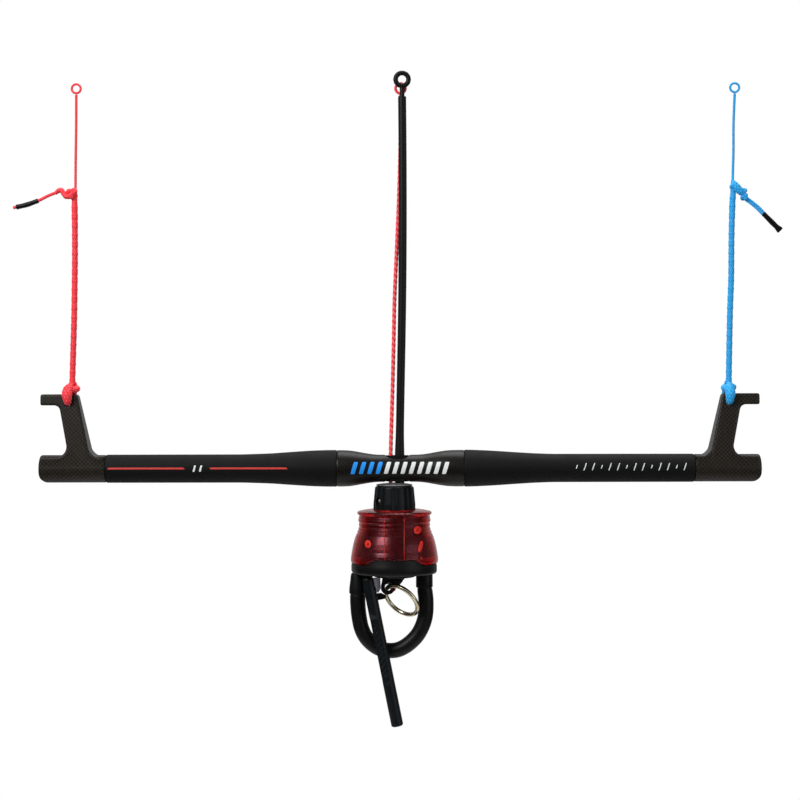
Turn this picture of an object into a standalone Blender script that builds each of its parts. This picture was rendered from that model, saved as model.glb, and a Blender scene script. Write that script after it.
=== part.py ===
"""Kitesurf control bar, hanging from its middle lines as it does in use.

The bar lies along X and its lines run up along Z. The bar slides on the depower line, over the
head of a quick release that carries the chicken loop. All sizes are in millimetres, with X from
the bar's middle and Z from the bar's axis, and they are scaled to metres where a mesh is made.
The origin is the crown of the depower line's eye.
"""

import math

import bmesh
import bpy
import numpy as np
from mathutils import Matrix, Vector

MM = 0.001
GAP = 0.3

# Where the part hangs: the crown of the depower line's eye
HANG = (2.0, -0.5, 303.0)

# Bar
BAR_HALF = 273.8
GRIP_END = 226.0
HUB_LEFT, HUB_RIGHT = -42.9, 48.6
END_R = 10.2
TUBE_R, TUBE_WALL = 8.2, 1.5
TUBE_BORE_R = TUBE_R + GAP
TUBE_END = 250.0
TUBE_INNER_LEFT, TUBE_INNER_RIGHT = -20.0, 17.0
LEFT_GRIP_STATIONS = ((-226.0, 10.5), (-121.0, 10.55), (-113.7, 10.8), (-98.5, 11.5), (-83.2, 12.6),
                      (-68.0, 13.6), (-52.8, 14.0), (-43.2, 14.0))
RIGHT_GRIP_STATIONS = ((48.9, 14.1), (56.0, 14.0), (69.2, 13.4), (84.4, 12.4), (99.6, 11.4),
                       (114.9, 10.8), (130.0, 10.55), (226.0, 10.5))
HUB_STATIONS = ((-42.9, 13.9), (-39.5, 13.8), (-36.0, 13.4), (-31.4, 12.5), (-26.9, 11.7),
                (-22.3, 10.9), (-17.7, 10.35), (14.3, 10.35), (18.9, 10.8), (23.4, 11.6),
                (28.0, 12.5), (33.3, 13.4), (39.0, 13.9), (48.6, 13.9))

# Line hole through the hub: a slot with round ends, lined by a bushing
SLOT_LEFT, SLOT_RIGHT, SLOT_HALF_DEPTH = -10.2, 6.2, 5.5
BUSHING_WALL = 0.8
BUSHING_PLAY = 1.1
BUSHING_HALF = 9.9

# Winding horns on the bar's ends
HORN_TOP = 56.8
TAB_UNDER = 48.3
TAB_OUTER = 273.1
HORN_HOLE = (251.9, 50.3)
HORN_HOLE_R = 3.4
HORN_HALF_DEPTH_TOP, HORN_HALF_DEPTH_ROOT = 5.4, 9.4

# Release: a round body about this vertical axis
AXIS_X = -4.4
HEAD_TOP, HEAD_BOTTOM = -11.85, -36.5
HEAD_R = 16.0
CHAMBER_R, CHAMBER_ROOF = 11.0, -18.5
FLUTES = 10
SHAFT_R, SHAFT_BORE_R = 5.2, 2.0
CORE_TOP, CORE_BOTTOM = -38.2, -67.35
COLUMN_R = 14.5
SEAT_R = 20.0
LEDGE_TOP, LEDGE_UNDER = -57.0, -59.0
SLEEVE_BORE_R = 16.7
PANEL_HALF = 7.5
PANEL_INSET = 21.5
ARCH_TOP, ARCH_FOOT = -67.5, -71.7
ARCH_FLAT_HALF, ARCH_FOOT_HALF = 13.0, 24.0
BASE_R, BASE_BOTTOM = 32.7, -79.6
BOSS_R, BOSS_BOTTOM = 16.0, -82.7

# Chicken loop: it opens about a pin through the right ferrule
LOOP_PIVOT = (18.3, 0.0, -76.7)
LOOP_R, LOOP_WALL = 5.85, 2.8
LOOP_ROPE_R = 2.0
LEFT_LEG_X = -32.5
TONGUE = (4.8, 8.0, 8.5)
FERRULE_R = 6.35

# Latch lever in the base, on the tongue's side
LATCH_PIVOT = (-26.6, 0.0, -70.9)

# Stick in front of the loop
STICK_PIVOT = (-24.3, -11.5, -84.5)
STICK_END = (-2.3, -11.5, -194.2)
STICK_R = 4.55

# Leash ring and the lug it hangs in
RING_CENTRE = (0.9, -6.0, -99.8)
RING_R, RING_WIRE_R = 14.2, 1.7
RING_DOWN = Vector((0.731, 0.0, -0.682))
RING_ACROSS = Vector((0.423, -0.785, 0.453))

# Cords
LEADER_R = 2.45
FLYING_LINE_R = 0.9
TAIL_R = 1.0
SHEATH_R, SHEATH_WALL = 3.2, 0.9
CORE_R = 1.9
SAFETY_R = 1.3

# Routes of the cords, from the end that leaves the object: hand-chosen points, millimetres
DEPOWER_ROUTE = ((-0.4, 0.0, -18.2), (-0.35, 0.0, 12.0), (0.1, 0.0, 40.0), (0.8, -0.1, 75.0),
                 (1.5, -0.2, 110.0), (2.0, -0.3, 145.0), (2.3, -0.4, 185.0), (2.3, -0.5, 235.0),
                 (2.0, -0.5, 283.0))
SAFETY_ROUTE = ((-4.4, 0.0, -28.9), (-4.5, 0.0, -27.2), (-5.7, 0.0, -23.5), (-7.1, 0.0, -18.0),
                (-7.2, 0.0, 0.0), (-7.1, 0.1, 15.0), (-6.6, 0.2, 32.0), (-5.7, 0.4, 60.0),
                (-4.8, 0.8, 95.0), (-4.0, 1.3, 130.0), (-2.2, 2.3, 170.0), (-0.5, 3.5, 210.0),
                (0.6, 4.1, 250.0), (0.8, 4.2, 285.0))
LOWER_SAFETY_ROUTE = ((-4.4, 0.0, -29.4), (-4.4, 0.0, -55.0), (-4.4, 0.0, -80.0),
                      (-4.4, 0.2, -85.0), (-4.9, 0.9, -88.9))
LEFT_LEADER_ROUTE = ((-249.7, 0.0, 64.6), (-248.9, 0.0, 90.0), (-248.2, 0.0, 113.0),
                     (-247.8, 0.0, 136.0), (-247.5, 0.0, 160.0), (-247.5, 0.0, 185.0),
                     (-247.8, 0.0, 204.2))
RIGHT_LEADER_ROUTE = ((250.5, 0.0, 64.6), (250.9, 0.0, 88.0), (251.6, 0.0, 120.0),
                      (252.5, 0.0, 145.0), (252.8, 0.0, 175.0), (253.6, 0.0, 200.8))
LEFT_LINE_ROUTE = ((-247.0, 0.0, 214.6), (-246.8, 0.0, 235.0), (-246.4, 0.0, 262.0),
                   (-246.3, 0.0, 285.0))
RIGHT_LINE_ROUTE = ((253.8, 0.0, 218.4), (254.0, 0.0, 228.0), (254.4, 0.0, 242.0),
                    (254.5, 0.0, 262.0), (255.4, 0.0, 285.0))
LEFT_TAIL_ROUTE = ((-261.0, 0.0, 210.0), (-267.5, 0.0, 207.7), (-275.2, 0.0, 204.4),
                   (-284.0, 0.0, 201.3), (-294.4, 0.0, 199.0))
RIGHT_TAIL_ROUTE = ((266.4, 0.0, 202.2), (271.0, 0.0, 198.6), (276.2, 0.0, 193.4),
                    (283.0, 0.0, 186.0), (290.2, 0.0, 178.6))
LOOP_ROUTE = ((18.6, 0.0, -92.1), (19.5, 0.0, -101.0), (19.2, 0.0, -111.0), (17.0, 0.0, -119.5),
              (12.6, 0.0, -127.5), (6.0, 0.0, -134.0), (-1.0, 0.0, -137.9), (-7.5, 0.0, -138.9),
              (-14.0, 0.0, -138.0), (-20.5, 0.0, -134.5), (-26.0, 0.0, -129.0),
              (-29.7, 0.0, -121.5), (-31.6, 0.0, -112.0), (-32.4, 0.0, -103.0),
              (-32.5, 0.0, -95.9))

COLOURS = {
    "carbon": ((0.030, 0.031, 0.033), 0.35, 0.0),
    "foam": ((0.020, 0.020, 0.021), 0.80, 0.0),
    "nylon": ((0.018, 0.018, 0.019), 0.50, 0.0),
    "red_plastic": ((0.330, 0.012, 0.018), 0.20, 0.0),
    "steel": ((0.620, 0.580, 0.500), 0.20, 1.0),
    "red_cord": ((0.780, 0.030, 0.050), 0.70, 0.0),
    "blue_cord": ((0.010, 0.330, 0.820), 0.70, 0.0),
    "black_cord": ((0.015, 0.015, 0.016), 0.60, 0.0),
    "grey_webbing": ((0.300, 0.300, 0.330), 0.70, 0.0),
}


# ---------------------------------------------------------------- scene and materials

def clear_scene():
    for thing in list(bpy.data.objects):
        bpy.data.objects.remove(thing, do_unlink=True)


def make_material(name):
    colour, roughness, metallic = COLOURS[name]
    material = bpy.data.materials.new(name)
    material.use_nodes = True
    shader = material.node_tree.nodes["Principled BSDF"]
    shader.inputs["Base Color"].default_value = (*colour, 1.0)
    shader.inputs["Roughness"].default_value = roughness
    shader.inputs["Metallic"].default_value = metallic
    material.diffuse_color = (*colour, 1.0)
    return material


clear_scene()
PARTS = bpy.data.collections.new("control_bar")
CUTTERS = bpy.data.collections.new("cutters")
bpy.context.scene.collection.children.link(PARTS)
bpy.context.scene.collection.children.link(CUTTERS)
MATERIALS = {name: make_material(name) for name in COLOURS}


def add_empty(name, at, parent=None):
    """An empty on a joint's axis, at a place given in the bar's own millimetres."""
    empty = bpy.data.objects.new(name, None)
    PARTS.objects.link(empty)
    empty.parent = parent
    empty["place"] = at
    base = Vector(parent["place"]) if parent else Vector(HANG)
    empty.location = (Vector(at) - base) * MM
    return empty


FRAME = add_empty("bar_frame", (0.0, 0.0, 0.0))
SLIDE = add_empty("slide_axis", (0.0, 0.0, 0.0), FRAME)
TILT = add_empty("tilt_axis", (0.0, 0.0, 0.0), SLIDE)
SWIVEL = add_empty("swivel_axis", (AXIS_X, 0.0, 0.0), FRAME)
SLEEVE = add_empty("sleeve_axis", (AXIS_X, 0.0, 0.0), SWIVEL)
LATCH = add_empty("latch_axis", LATCH_PIVOT, SWIVEL)
LOOP = add_empty("loop_axis", LOOP_PIVOT, SWIVEL)
STICK = add_empty("stick_axis", STICK_PIVOT, SWIVEL)
RING_PIVOT = Vector(RING_CENTRE) - RING_R * RING_DOWN
RING = add_empty("ring_axis", tuple(RING_PIVOT), SWIVEL)


def place(thing, parent, at, turn=(0.0, 0.0, 0.0), material="nylon", cutter=False):
    """Put an object at a place in the bar's millimetres, under the empty it moves with."""
    thing.parent = parent
    thing.location = (Vector(at) - Vector(parent["place"])) * MM
    thing.rotation_euler = turn
    if cutter:
        CUTTERS.objects.link(thing)
        thing.hide_render = True
        thing.display_type = "WIRE"
    else:
        PARTS.objects.link(thing)
        thing.data.materials.append(MATERIALS[material])
    return thing


# ---------------------------------------------------------------- shape helpers

def lathe(name, profile, parent, at, material="nylon", turn=(0.0, 0.0, 0.0), steps=24,
          ring=False, cutter=False):
    """Turn a profile of (radius, height) points about the object's Z, outer side top to bottom."""
    mesh = bpy.data.meshes.new(name)
    points = [(radius * MM, 0.0, height * MM) for radius, height in profile]
    edges = [(i, i + 1) for i in range(len(points) - 1)]
    if ring:
        edges.append((len(points) - 1, 0))
    mesh.from_pydata(points, edges, [])
    thing = place(bpy.data.objects.new(name, mesh), parent, at, turn, material, cutter)
    screw = thing.modifiers.new("turn", "SCREW")
    screw.steps = steps
    screw.render_steps = steps
    screw.use_merge_vertices = True
    screw.merge_threshold = 0.00001
    screw.use_smooth_shade = True
    screw.use_normal_calculate = False
    return thing


def along_x(name, stations, bore, parent, material, steps=20):
    """A piece turned about the bar's axis from (x, radius) stations, with a bore right through."""
    outer = [(radius, x) for x, radius in reversed(stations)]
    inner = [(bore, stations[0][0]), (bore, stations[-1][0])]
    return lathe(name, outer + inner, parent, (0.0, 0.0, 0.0), material,
                 turn=(0.0, math.pi / 2, 0.0), steps=steps, ring=True)


def rod(name, radius, length, parent, at, material="nylon", turn=(0.0, 0.0, 0.0), sides=16,
        cutter=False):
    """A plain cylinder centred on its place, along its own Z."""
    mesh = bpy.data.meshes.new(name)
    shape = bmesh.new()
    bmesh.ops.create_cone(shape, cap_ends=True, segments=sides, radius1=radius * MM,
                          radius2=radius * MM, depth=length * MM)
    shape.to_mesh(mesh)
    shape.free()
    return place(bpy.data.objects.new(name, mesh), parent, at, turn, material, cutter)


def block(name, size, parent, at, material="nylon", turn=(0.0, 0.0, 0.0), cutter=False):
    """A box of the given size, centred on its place."""
    mesh = bpy.data.meshes.new(name)
    shape = bmesh.new()
    bmesh.ops.create_cube(shape, size=1.0)
    bmesh.ops.scale(shape, vec=Vector(size) * MM, verts=shape.verts)
    shape.to_mesh(mesh)
    shape.free()
    return place(bpy.data.objects.new(name, mesh), parent, at, turn, material, cutter)


def lump(name, radii, parent, at, material, turn=(0.0, 0.0, 0.0)):
    """A knot's outer shape: a ball stretched to three radii."""
    mesh = bpy.data.meshes.new(name)
    shape = bmesh.new()
    bmesh.ops.create_uvsphere(shape, u_segments=10, v_segments=7, radius=1.0)
    bmesh.ops.scale(shape, vec=Vector(radii) * MM, verts=shape.verts)
    shape.to_mesh(mesh)
    shape.free()
    mesh.shade_smooth()
    return place(bpy.data.objects.new(name, mesh), parent, at, turn, material)


def torus(name, major, minor, parent, at, material, axis=(0.0, 1.0, 0.0), steps=24, sides=10):
    """A ring of round wire about an axis, turned from a circle."""
    angles = [2.0 * math.pi * i / sides for i in range(sides)]
    circle = [(major + minor * math.cos(a), -minor * math.sin(a)) for a in angles]
    turn = Vector(axis).to_track_quat("Z", "Y").to_euler()
    return lathe(name, circle, parent, at, material, turn=turn, steps=steps, ring=True)


def smooth_route(points, spacing, closed=False):
    """Points at an even spacing on the Catmull-Rom curve through a route's own points."""
    route = np.array(points, dtype=float)
    if closed:
        route = np.vstack([route[-1:], route, route[:2]])
    else:
        first = 2.0 * route[0] - route[1]
        last = 2.0 * route[-1] - route[-2]
        route = np.vstack([first, route, last])
    fine = []
    for a, b, c, d in zip(route[:-3], route[1:-2], route[2:-1], route[3:]):
        t = np.linspace(0.0, 1.0, 24, endpoint=False)[:, None]
        fine.append(0.5 * (2.0 * b + (c - a) * t + (2.0 * a - 5.0 * b + 4.0 * c - d) * t ** 2
                           + (3.0 * b - 3.0 * c + d - a) * t ** 3))
    curve = np.vstack(fine + [route[-2:-1]])
    steps = np.linalg.norm(np.diff(curve, axis=0), axis=1)
    travelled = np.concatenate([[0.0], np.cumsum(steps)])
    count = max(2, int(round(travelled[-1] / spacing)) + 1)
    places = np.linspace(0.0, travelled[-1], count)
    even = np.column_stack([np.interp(places, travelled, curve[:, i]) for i in range(3)])
    return even[:-1] if closed else even


def tube_curve(name, points, radius, at, closed=False, caps=True, resolution=2):
    """A curve object with a round bevel along the points."""
    curve = bpy.data.curves.new(name, "CURVE")
    curve.dimensions = "3D"
    curve.bevel_depth = radius * MM
    curve.bevel_resolution = resolution
    curve.use_fill_caps = caps and not closed
    spline = curve.splines.new("POLY")
    spline.points.add(len(points) - 1)
    for control, point in zip(spline.points, points):
        control.co = (*((Vector(point) - Vector(at)) * MM), 1.0)
    spline.use_cyclic_u = closed
    spline.use_smooth = True
    return bpy.data.objects.new(name, curve)


def rope(name, route, radius, parent, material, spacing, closed=False, resolution=2):
    """A cord: a plain tube on the smooth curve through its route."""
    points = smooth_route(route, spacing, closed)
    at = parent["place"]
    return place(tube_curve(name, points, radius, at, closed, True, resolution),
                 parent, at, material=material)


def mesh_of(thing, name):
    """The mesh that a curve object makes, with its seams welded."""
    bpy.context.view_layer.update()
    graph = bpy.context.evaluated_depsgraph_get()
    mesh = bpy.data.meshes.new_from_object(thing.evaluated_get(graph))
    mesh.name = name
    shape = bmesh.new()
    shape.from_mesh(mesh)
    bmesh.ops.remove_doubles(shape, verts=shape.verts, dist=0.00001)
    bmesh.ops.recalc_face_normals(shape, faces=shape.faces)
    shape.to_mesh(mesh)
    shape.free()
    mesh.materials.clear()
    return mesh


def pipe(name, route, radius, wall, parent, material, spacing, resolution=3):
    """A hollow tube with square ends along a route."""
    at = parent["place"]
    points = smooth_route(route, spacing)
    guide = tube_curve(name + "_guide", points, radius, at, caps=False,
                       resolution=resolution)
    PARTS.objects.link(guide)
    mesh = mesh_of(guide, name)
    bpy.data.objects.remove(guide, do_unlink=True)
    thing = place(bpy.data.objects.new(name, mesh), parent, at, material=material)
    solid = thing.modifiers.new("wall", "SOLIDIFY")
    solid.thickness = wall * MM
    solid.offset = -1.0
    return thing


def plate(name, outline, thickness, parent, at, material="nylon", edge=0.0, cutter=False):
    """A flat piece in the XZ plane, extruded along Y and centred on its place."""
    curve = bpy.data.curves.new(name + "_outline", "CURVE")
    curve.dimensions = "2D"
    curve.fill_mode = "BOTH"
    curve.extrude = (thickness / 2.0 - edge) * MM
    curve.bevel_depth = edge * MM
    curve.bevel_resolution = 0
    curve.offset = -edge * MM
    spline = curve.splines.new("POLY")
    spline.points.add(len(outline) - 1)
    for control, (x, z) in zip(spline.points, outline):
        control.co = ((x - at[0]) * MM, (z - at[2]) * MM, 0.0, 1.0)
    spline.use_cyclic_u = True
    guide = bpy.data.objects.new(name + "_guide", curve)
    PARTS.objects.link(guide)
    mesh = mesh_of(guide, name)
    bpy.data.objects.remove(guide, do_unlink=True)
    mesh.transform(Matrix.Rotation(math.pi / 2, 4, "X"))
    return place(bpy.data.objects.new(name, mesh), parent, at, material=material, cutter=cutter)


def boolean(thing, other, operation="DIFFERENCE"):
    """Cut, join or intersect an object with a cutter, exactly."""
    step = thing.modifiers.new(operation.lower(), "BOOLEAN")
    step.operation = operation
    step.solver = "EXACT"
    step.object = other
    return thing


def arc(centre, radius, start, end, count):
    """Points on an arc in the XZ plane, angles in degrees from +X towards +Z."""
    angles = np.radians(np.linspace(start, end, count))
    return [(centre[0] + radius * math.cos(a), centre[1] + radius * math.sin(a)) for a in angles]


def stadium(left, right, half, count=7):
    """A slot's outline with round ends."""
    return (arc((right - half, 0.0), half, -90.0, 90.0, count)
            + arc((left + half, 0.0), half, 90.0, 270.0, count))


def upright_slot(name, left, right, half, height, parent, at, material="nylon", cutter=False):
    """A slot outline drawn from above and extruded along Z."""
    outline = stadium(left, right, half)
    thing = plate(name, outline, height, parent, at, material, cutter=cutter)
    thing.data.transform(Matrix.Rotation(-math.pi / 2, 4, "X"))
    return thing


# ---------------------------------------------------------------- bar

def make_bar_tubes():
    for side, inner, outer in (("left", TUBE_INNER_LEFT, -TUBE_END),
                               ("right", TUBE_INNER_RIGHT, TUBE_END)):
        ends = sorted((inner, outer))
        along_x("bar_tube_" + side, ((ends[0], TUBE_R), (ends[1], TUBE_R)), TUBE_R - TUBE_WALL,
                TILT, "carbon", steps=16)


def make_grips():
    along_x("left_grip", LEFT_GRIP_STATIONS, TUBE_BORE_R, TILT, "foam")
    along_x("right_grip", RIGHT_GRIP_STATIONS, TUBE_BORE_R, TILT, "foam")


def make_hub():
    """A waisted middle piece: a blind bore from each side, and a slot for the lines."""
    left_bore = TUBE_INNER_LEFT + 0.5
    right_bore = TUBE_INNER_RIGHT - 0.5
    outer = [(radius, x) for x, radius in reversed(HUB_STATIONS)]
    left_side = [(TUBE_BORE_R, HUB_LEFT), (TUBE_BORE_R, left_bore), (0.0, left_bore)]
    right_side = [(0.0, right_bore), (TUBE_BORE_R, right_bore), (TUBE_BORE_R, HUB_RIGHT)]
    hub = lathe("center_hub", right_side + outer + left_side, TILT, (0.0, 0.0, 0.0), "carbon",
                turn=(0.0, math.pi / 2, 0.0), steps=24)
    wide = BUSHING_WALL + BUSHING_PLAY
    slot = upright_slot("hub_slot", SLOT_LEFT - wide, SLOT_RIGHT + wide, SLOT_HALF_DEPTH + wide,
                        40.0, TILT, (0.0, 0.0, 0.0), cutter=True)
    boolean(hub, slot)


def make_bushing():
    """The slotted insert that runs on the lines. The bar rocks on it."""
    body = upright_slot("hub_bushing", SLOT_LEFT - BUSHING_WALL, SLOT_RIGHT + BUSHING_WALL,
                        SLOT_HALF_DEPTH + BUSHING_WALL, 2.0 * BUSHING_HALF, SLIDE,
                        (0.0, 0.0, 0.0), "steel")
    hole = upright_slot("bushing_hole", SLOT_LEFT, SLOT_RIGHT, SLOT_HALF_DEPTH, 40.0, SLIDE,
                        (0.0, 0.0, 0.0), cutter=True)
    boolean(body, hole)


def horn_outline():
    """The right horn from the front: a leaning neck with a tab pointing outwards."""
    inboard_foot = arc((227.3, 19.0), 9.6, -80.0, -24.0, 5)
    inboard_top = arc((247.2, 54.2), 2.6, 175.0, 90.0, 4)
    tab = arc((TAB_OUTER - 1.3, HORN_TOP - 1.3), 1.3, 90.0, 0.0, 3)
    tab += arc((TAB_OUTER - 1.3, TAB_UNDER + 1.3), 1.3, 0.0, -90.0, 3)
    armpit = arc((262.6, TAB_UNDER - 4.6), 4.6, 90.0, 172.0, 5)
    outboard_foot = arc((260.0, 15.6), 7.2, 172.0, 230.0, 4)
    return (inboard_foot + inboard_top + tab + armpit + outboard_foot
            + [(255.0, 4.0), (229.0, 4.0)])


def end_outline():
    """The end piece from the front: square above, a generous round below."""
    corner = arc((BAR_HALF - 7.5, -14.0 + 10.5), 7.5, 0.0, -90.0, 6)
    return [(210.0, 14.0), (BAR_HALF, 14.0)] + corner + [(210.0, -11.0)]


def horn_depth(z):
    """Half the horn's depth at a height: it thins from the root to the tip."""
    share = min(max((z - 8.0) / (HORN_TOP - 8.0), 0.0), 1.0)
    return HORN_HALF_DEPTH_ROOT + share * (HORN_HALF_DEPTH_TOP - HORN_HALF_DEPTH_ROOT)


def mirrored(outline, side):
    """An outline drawn for the right, turned over for the left."""
    return outline if side > 0 else [(-x, z) for x, z in reversed(outline)]


def make_end(name, side):
    """One end piece: a round stub over the tube, with its winding horn."""
    profile = [(0.0, BAR_HALF), (END_R - 0.8, BAR_HALF), (END_R, BAR_HALF - 0.8),
               (END_R + 0.15, GRIP_END + GAP), (TUBE_BORE_R, GRIP_END + GAP),
               (TUBE_BORE_R, TUBE_END + 0.5), (0.0, TUBE_END + 0.5)]
    body = lathe(name, profile, TILT, (0.0, 0.0, 0.0), "carbon",
                 turn=(0.0, side * math.pi / 2, 0.0), steps=20)
    rounding = plate(name + "_rounding", mirrored(end_outline(), side), 40.0, TILT,
                     (0.0, 0.0, 0.0), cutter=True)
    boolean(body, rounding, "INTERSECT")
    horn = plate(name + "_horn", mirrored(horn_outline(), side), 2.0 * HORN_HALF_DEPTH_ROOT,
                 TILT, (0.0, 0.0, 0.0), edge=1.2, cutter=True)
    for vertex in horn.data.vertices:
        vertex.co.y *= horn_depth(vertex.co.z / MM) / HORN_HALF_DEPTH_ROOT
    boolean(body, horn, "UNION")
    bore = rod(name + "_bore", TUBE_BORE_R, TUBE_END + 0.5 - GRIP_END + 10.0, TILT,
               (side * (TUBE_END + 0.5 + GRIP_END - 10.0) / 2.0, 0.0, 0.0),
               turn=(0.0, math.pi / 2, 0.0), sides=20, cutter=True)
    boolean(body, bore)
    hole = rod(name + "_hole", HORN_HOLE_R, 40.0, TILT, (side * HORN_HOLE[0], 0.0, HORN_HOLE[1]),
               turn=(math.pi / 2, 0.0, 0.0), sides=16, cutter=True)
    boolean(body, hole)


# ---------------------------------------------------------------- outside lines

def make_leader(side, name, material, leader, line, tail):
    """A leader tied through its horn, the flying line knotted to it, and the knot's tail."""
    x = side * HORN_HOLE[0]
    top = Vector(leader[0])
    loop = ((top.x, 0.0, 62.0), (x + side * -0.9, -5.6, 60.9), (x, -9.2, 56.4),
            (x, -8.3, 51.5), (x, 0.0, 49.9), (x, 8.3, 51.5), (x, 9.2, 56.4),
            (x + side * -0.9, 5.6, 60.9))
    rope(name + "_leader_loop", loop, 2.2, TILT, material, 4.5, closed=True)
    rope(name + "_leader", leader, LEADER_R, TILT, material, 11.0)
    rope(name + "_flying_line", line, FLYING_LINE_R, TILT, material, 5.0)
    end = Vector(line[-1])
    torus(name + "_line_eye", 3.4, FLYING_LINE_R, TILT, (end.x, end.y, end.z + 3.4 + 0.9 + GAP),
          material, steps=12, sides=6)
    rope(name + "_tail", tail, TAIL_R, TILT, material, 4.0)


def make_outside_lines():
    make_leader(-1, "left", "red_cord", LEFT_LEADER_ROUTE, LEFT_LINE_ROUTE, LEFT_TAIL_ROUTE)
    make_leader(1, "right", "blue_cord", RIGHT_LEADER_ROUTE, RIGHT_LINE_ROUTE, RIGHT_TAIL_ROUTE)
    lump("left_leader_knot", (7.7, 4.0, 4.3), TILT, (-252.6, 0.0, 209.4), "red_cord")
    lump("right_leader_knot", (8.9, 4.0, 4.4), TILT, (258.9, 0.0, 209.0), "blue_cord",
         turn=(0.0, math.radians(38.0), 0.0))
    pipe("left_tail_sleeve", LEFT_TAIL_ROUTE[2:4] + ((-292.2, 0.0, 199.4),), 1.7, 0.4, TILT,
         "black_cord", 4.0, resolution=2)
    pipe("right_tail_sleeve", RIGHT_TAIL_ROUTE[2:4] + ((289.4, 0.0, 179.4),), 1.8, 0.4, TILT,
         "black_cord", 4.0, resolution=2)


# ---------------------------------------------------------------- middle lines

def make_middle_lines():
    """The depower line in its sheath and the safety line beside it, each with an eye on top."""
    pipe("depower_sheath", DEPOWER_ROUTE, SHEATH_R, SHEATH_WALL, FRAME, "black_cord", 18.0,
         resolution=2)
    core = ((-0.4, 0.0, -18.6),) + DEPOWER_ROUTE[1:-1] + ((2.0, -0.5, 289.0),)
    rope("depower_core", core, CORE_R, FRAME, "black_cord", 11.4)
    eye = HANG[2] - 4.9 - CORE_R
    torus("depower_eye", 4.9, CORE_R, FRAME, (HANG[0], HANG[1], eye), "black_cord", steps=16,
          sides=6)
    lump("depower_knot", (3.2, 3.2, 2.9), FRAME, (-0.4, 0.0, -22.1), "black_cord")
    rope("safety_line", SAFETY_ROUTE, SAFETY_R, FRAME, "red_cord", 7.8)
    end = Vector(SAFETY_ROUTE[-1])
    torus("safety_eye", 3.8, 1.1, FRAME, (end.x, end.y, end.z + 3.8 + 1.1 + GAP), "red_cord",
          steps=12, sides=6)


# ---------------------------------------------------------------- swivel

def make_head():
    """The fluted head: the lines pass its roof, and the swivel shaft hangs in its chamber."""
    profile = [(0.0, HEAD_TOP), (12.0, HEAD_TOP), (13.7, HEAD_TOP - 0.6), (14.8, HEAD_TOP - 2.0),
               (15.4, -21.0), (HEAD_R, -27.2), (HEAD_R, HEAD_BOTTOM), (CHAMBER_R, HEAD_BOTTOM),
               (CHAMBER_R, CHAMBER_ROOF), (0.0, CHAMBER_ROOF)]
    head = lathe("swivel_head", profile, FRAME, (AXIS_X, 0.0, 0.0), "nylon", steps=30)
    for label, x, radius in (("depower", -0.4, 3.8), ("safety", -7.2, 1.75)):
        channel = rod("head_" + label + "_channel", radius, 12.0, FRAME,
                      (x, 0.0, (HEAD_TOP + CHAMBER_ROOF) / 2.0), cutter=True)
        boolean(head, channel)
    for index in range(FLUTES):
        angle = 2.0 * math.pi * (index + 0.5) / FLUTES
        place_at = (AXIS_X + 17.3 * math.cos(angle), 17.3 * math.sin(angle), -25.0)
        flute = rod("head_flute_" + str(index), 2.4, 30.0, FRAME, place_at, sides=10, cutter=True)
        boolean(head, flute)


def make_swivel():
    """Retaining ring, ball race and hollow shaft, in a stack inside the head."""
    lathe("swivel_ring", [(10.7, -33.4), (10.7, -36.2), (5.8, -36.2), (5.8, -33.4)], FRAME,
          (AXIS_X, 0.0, 0.0), "steel", ring=True)
    torus("ball_race", 8.2, 1.3, FRAME, (AXIS_X, 0.0, -31.7), "steel", axis=(0.0, 0.0, 1.0),
          steps=18, sides=6)
    lathe("swivel_shaft", [(9.8, -27.6), (9.8, -30.0), (SHAFT_R, -30.0), (SHAFT_R, -66.0),
                           (SHAFT_BORE_R, -66.0), (SHAFT_BORE_R, -27.6)], SWIVEL,
          (AXIS_X, 0.0, 0.0), "steel", ring=True, steps=20)
    lathe("shaft_nut", [(8.6, -61.3), (8.6, -65.6), (5.5, -65.6), (5.5, -61.3)], SWIVEL,
          (AXIS_X, 0.0, 0.0), "steel", ring=True, steps=18)


# ---------------------------------------------------------------- release body

def make_core():
    """The spool inside the sleeve: spring seat on top, flange and latch lugs below."""
    profile = [(SEAT_R, CORE_TOP), (SEAT_R, -41.0), (COLUMN_R, -41.0), (COLUMN_R, -61.5),
               (24.0, -61.5), (24.0, CORE_BOTTOM), (9.0, CORE_BOTTOM), (9.0, -60.8),
               (SHAFT_R + 0.4, -60.8), (SHAFT_R + 0.4, CORE_TOP)]
    core = lathe("release_core", profile, SWIVEL, (AXIS_X, 0.0, 0.0), "nylon", ring=True,
                 steps=24)
    for index, side in enumerate((-1, 1)):
        lug = block("latch_lug_" + str(index), (4.6, 2.2, 7.2), SWIVEL,
                    (LATCH_PIVOT[0], side * 5.2, -69.4), cutter=True)
        boolean(core, lug, "UNION")
    pin = rod("latch_pin_hole", 1.35, 11.4, SWIVEL, LATCH_PIVOT, turn=(math.pi / 2, 0.0, 0.0),
              cutter=True)
    boolean(core, pin)
    for index, side in enumerate((-1, 1)):
        hole = rod("core_screw_hole_" + str(index), 1.75, 20.0, SWIVEL,
                   (AXIS_X, side * 12.0, -72.0), cutter=True)
        boolean(core, hole)


def arch_height(x):
    """Height of the parting line between sleeve and base, at a distance from the axis."""
    share = (ARCH_FOOT_HALF - abs(x)) / (ARCH_FOOT_HALF - ARCH_FLAT_HALF)
    share = min(max(share, 0.0), 1.0)
    return ARCH_FOOT + (ARCH_TOP - ARCH_FOOT) * share * share * (3.0 - 2.0 * share)


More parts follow.
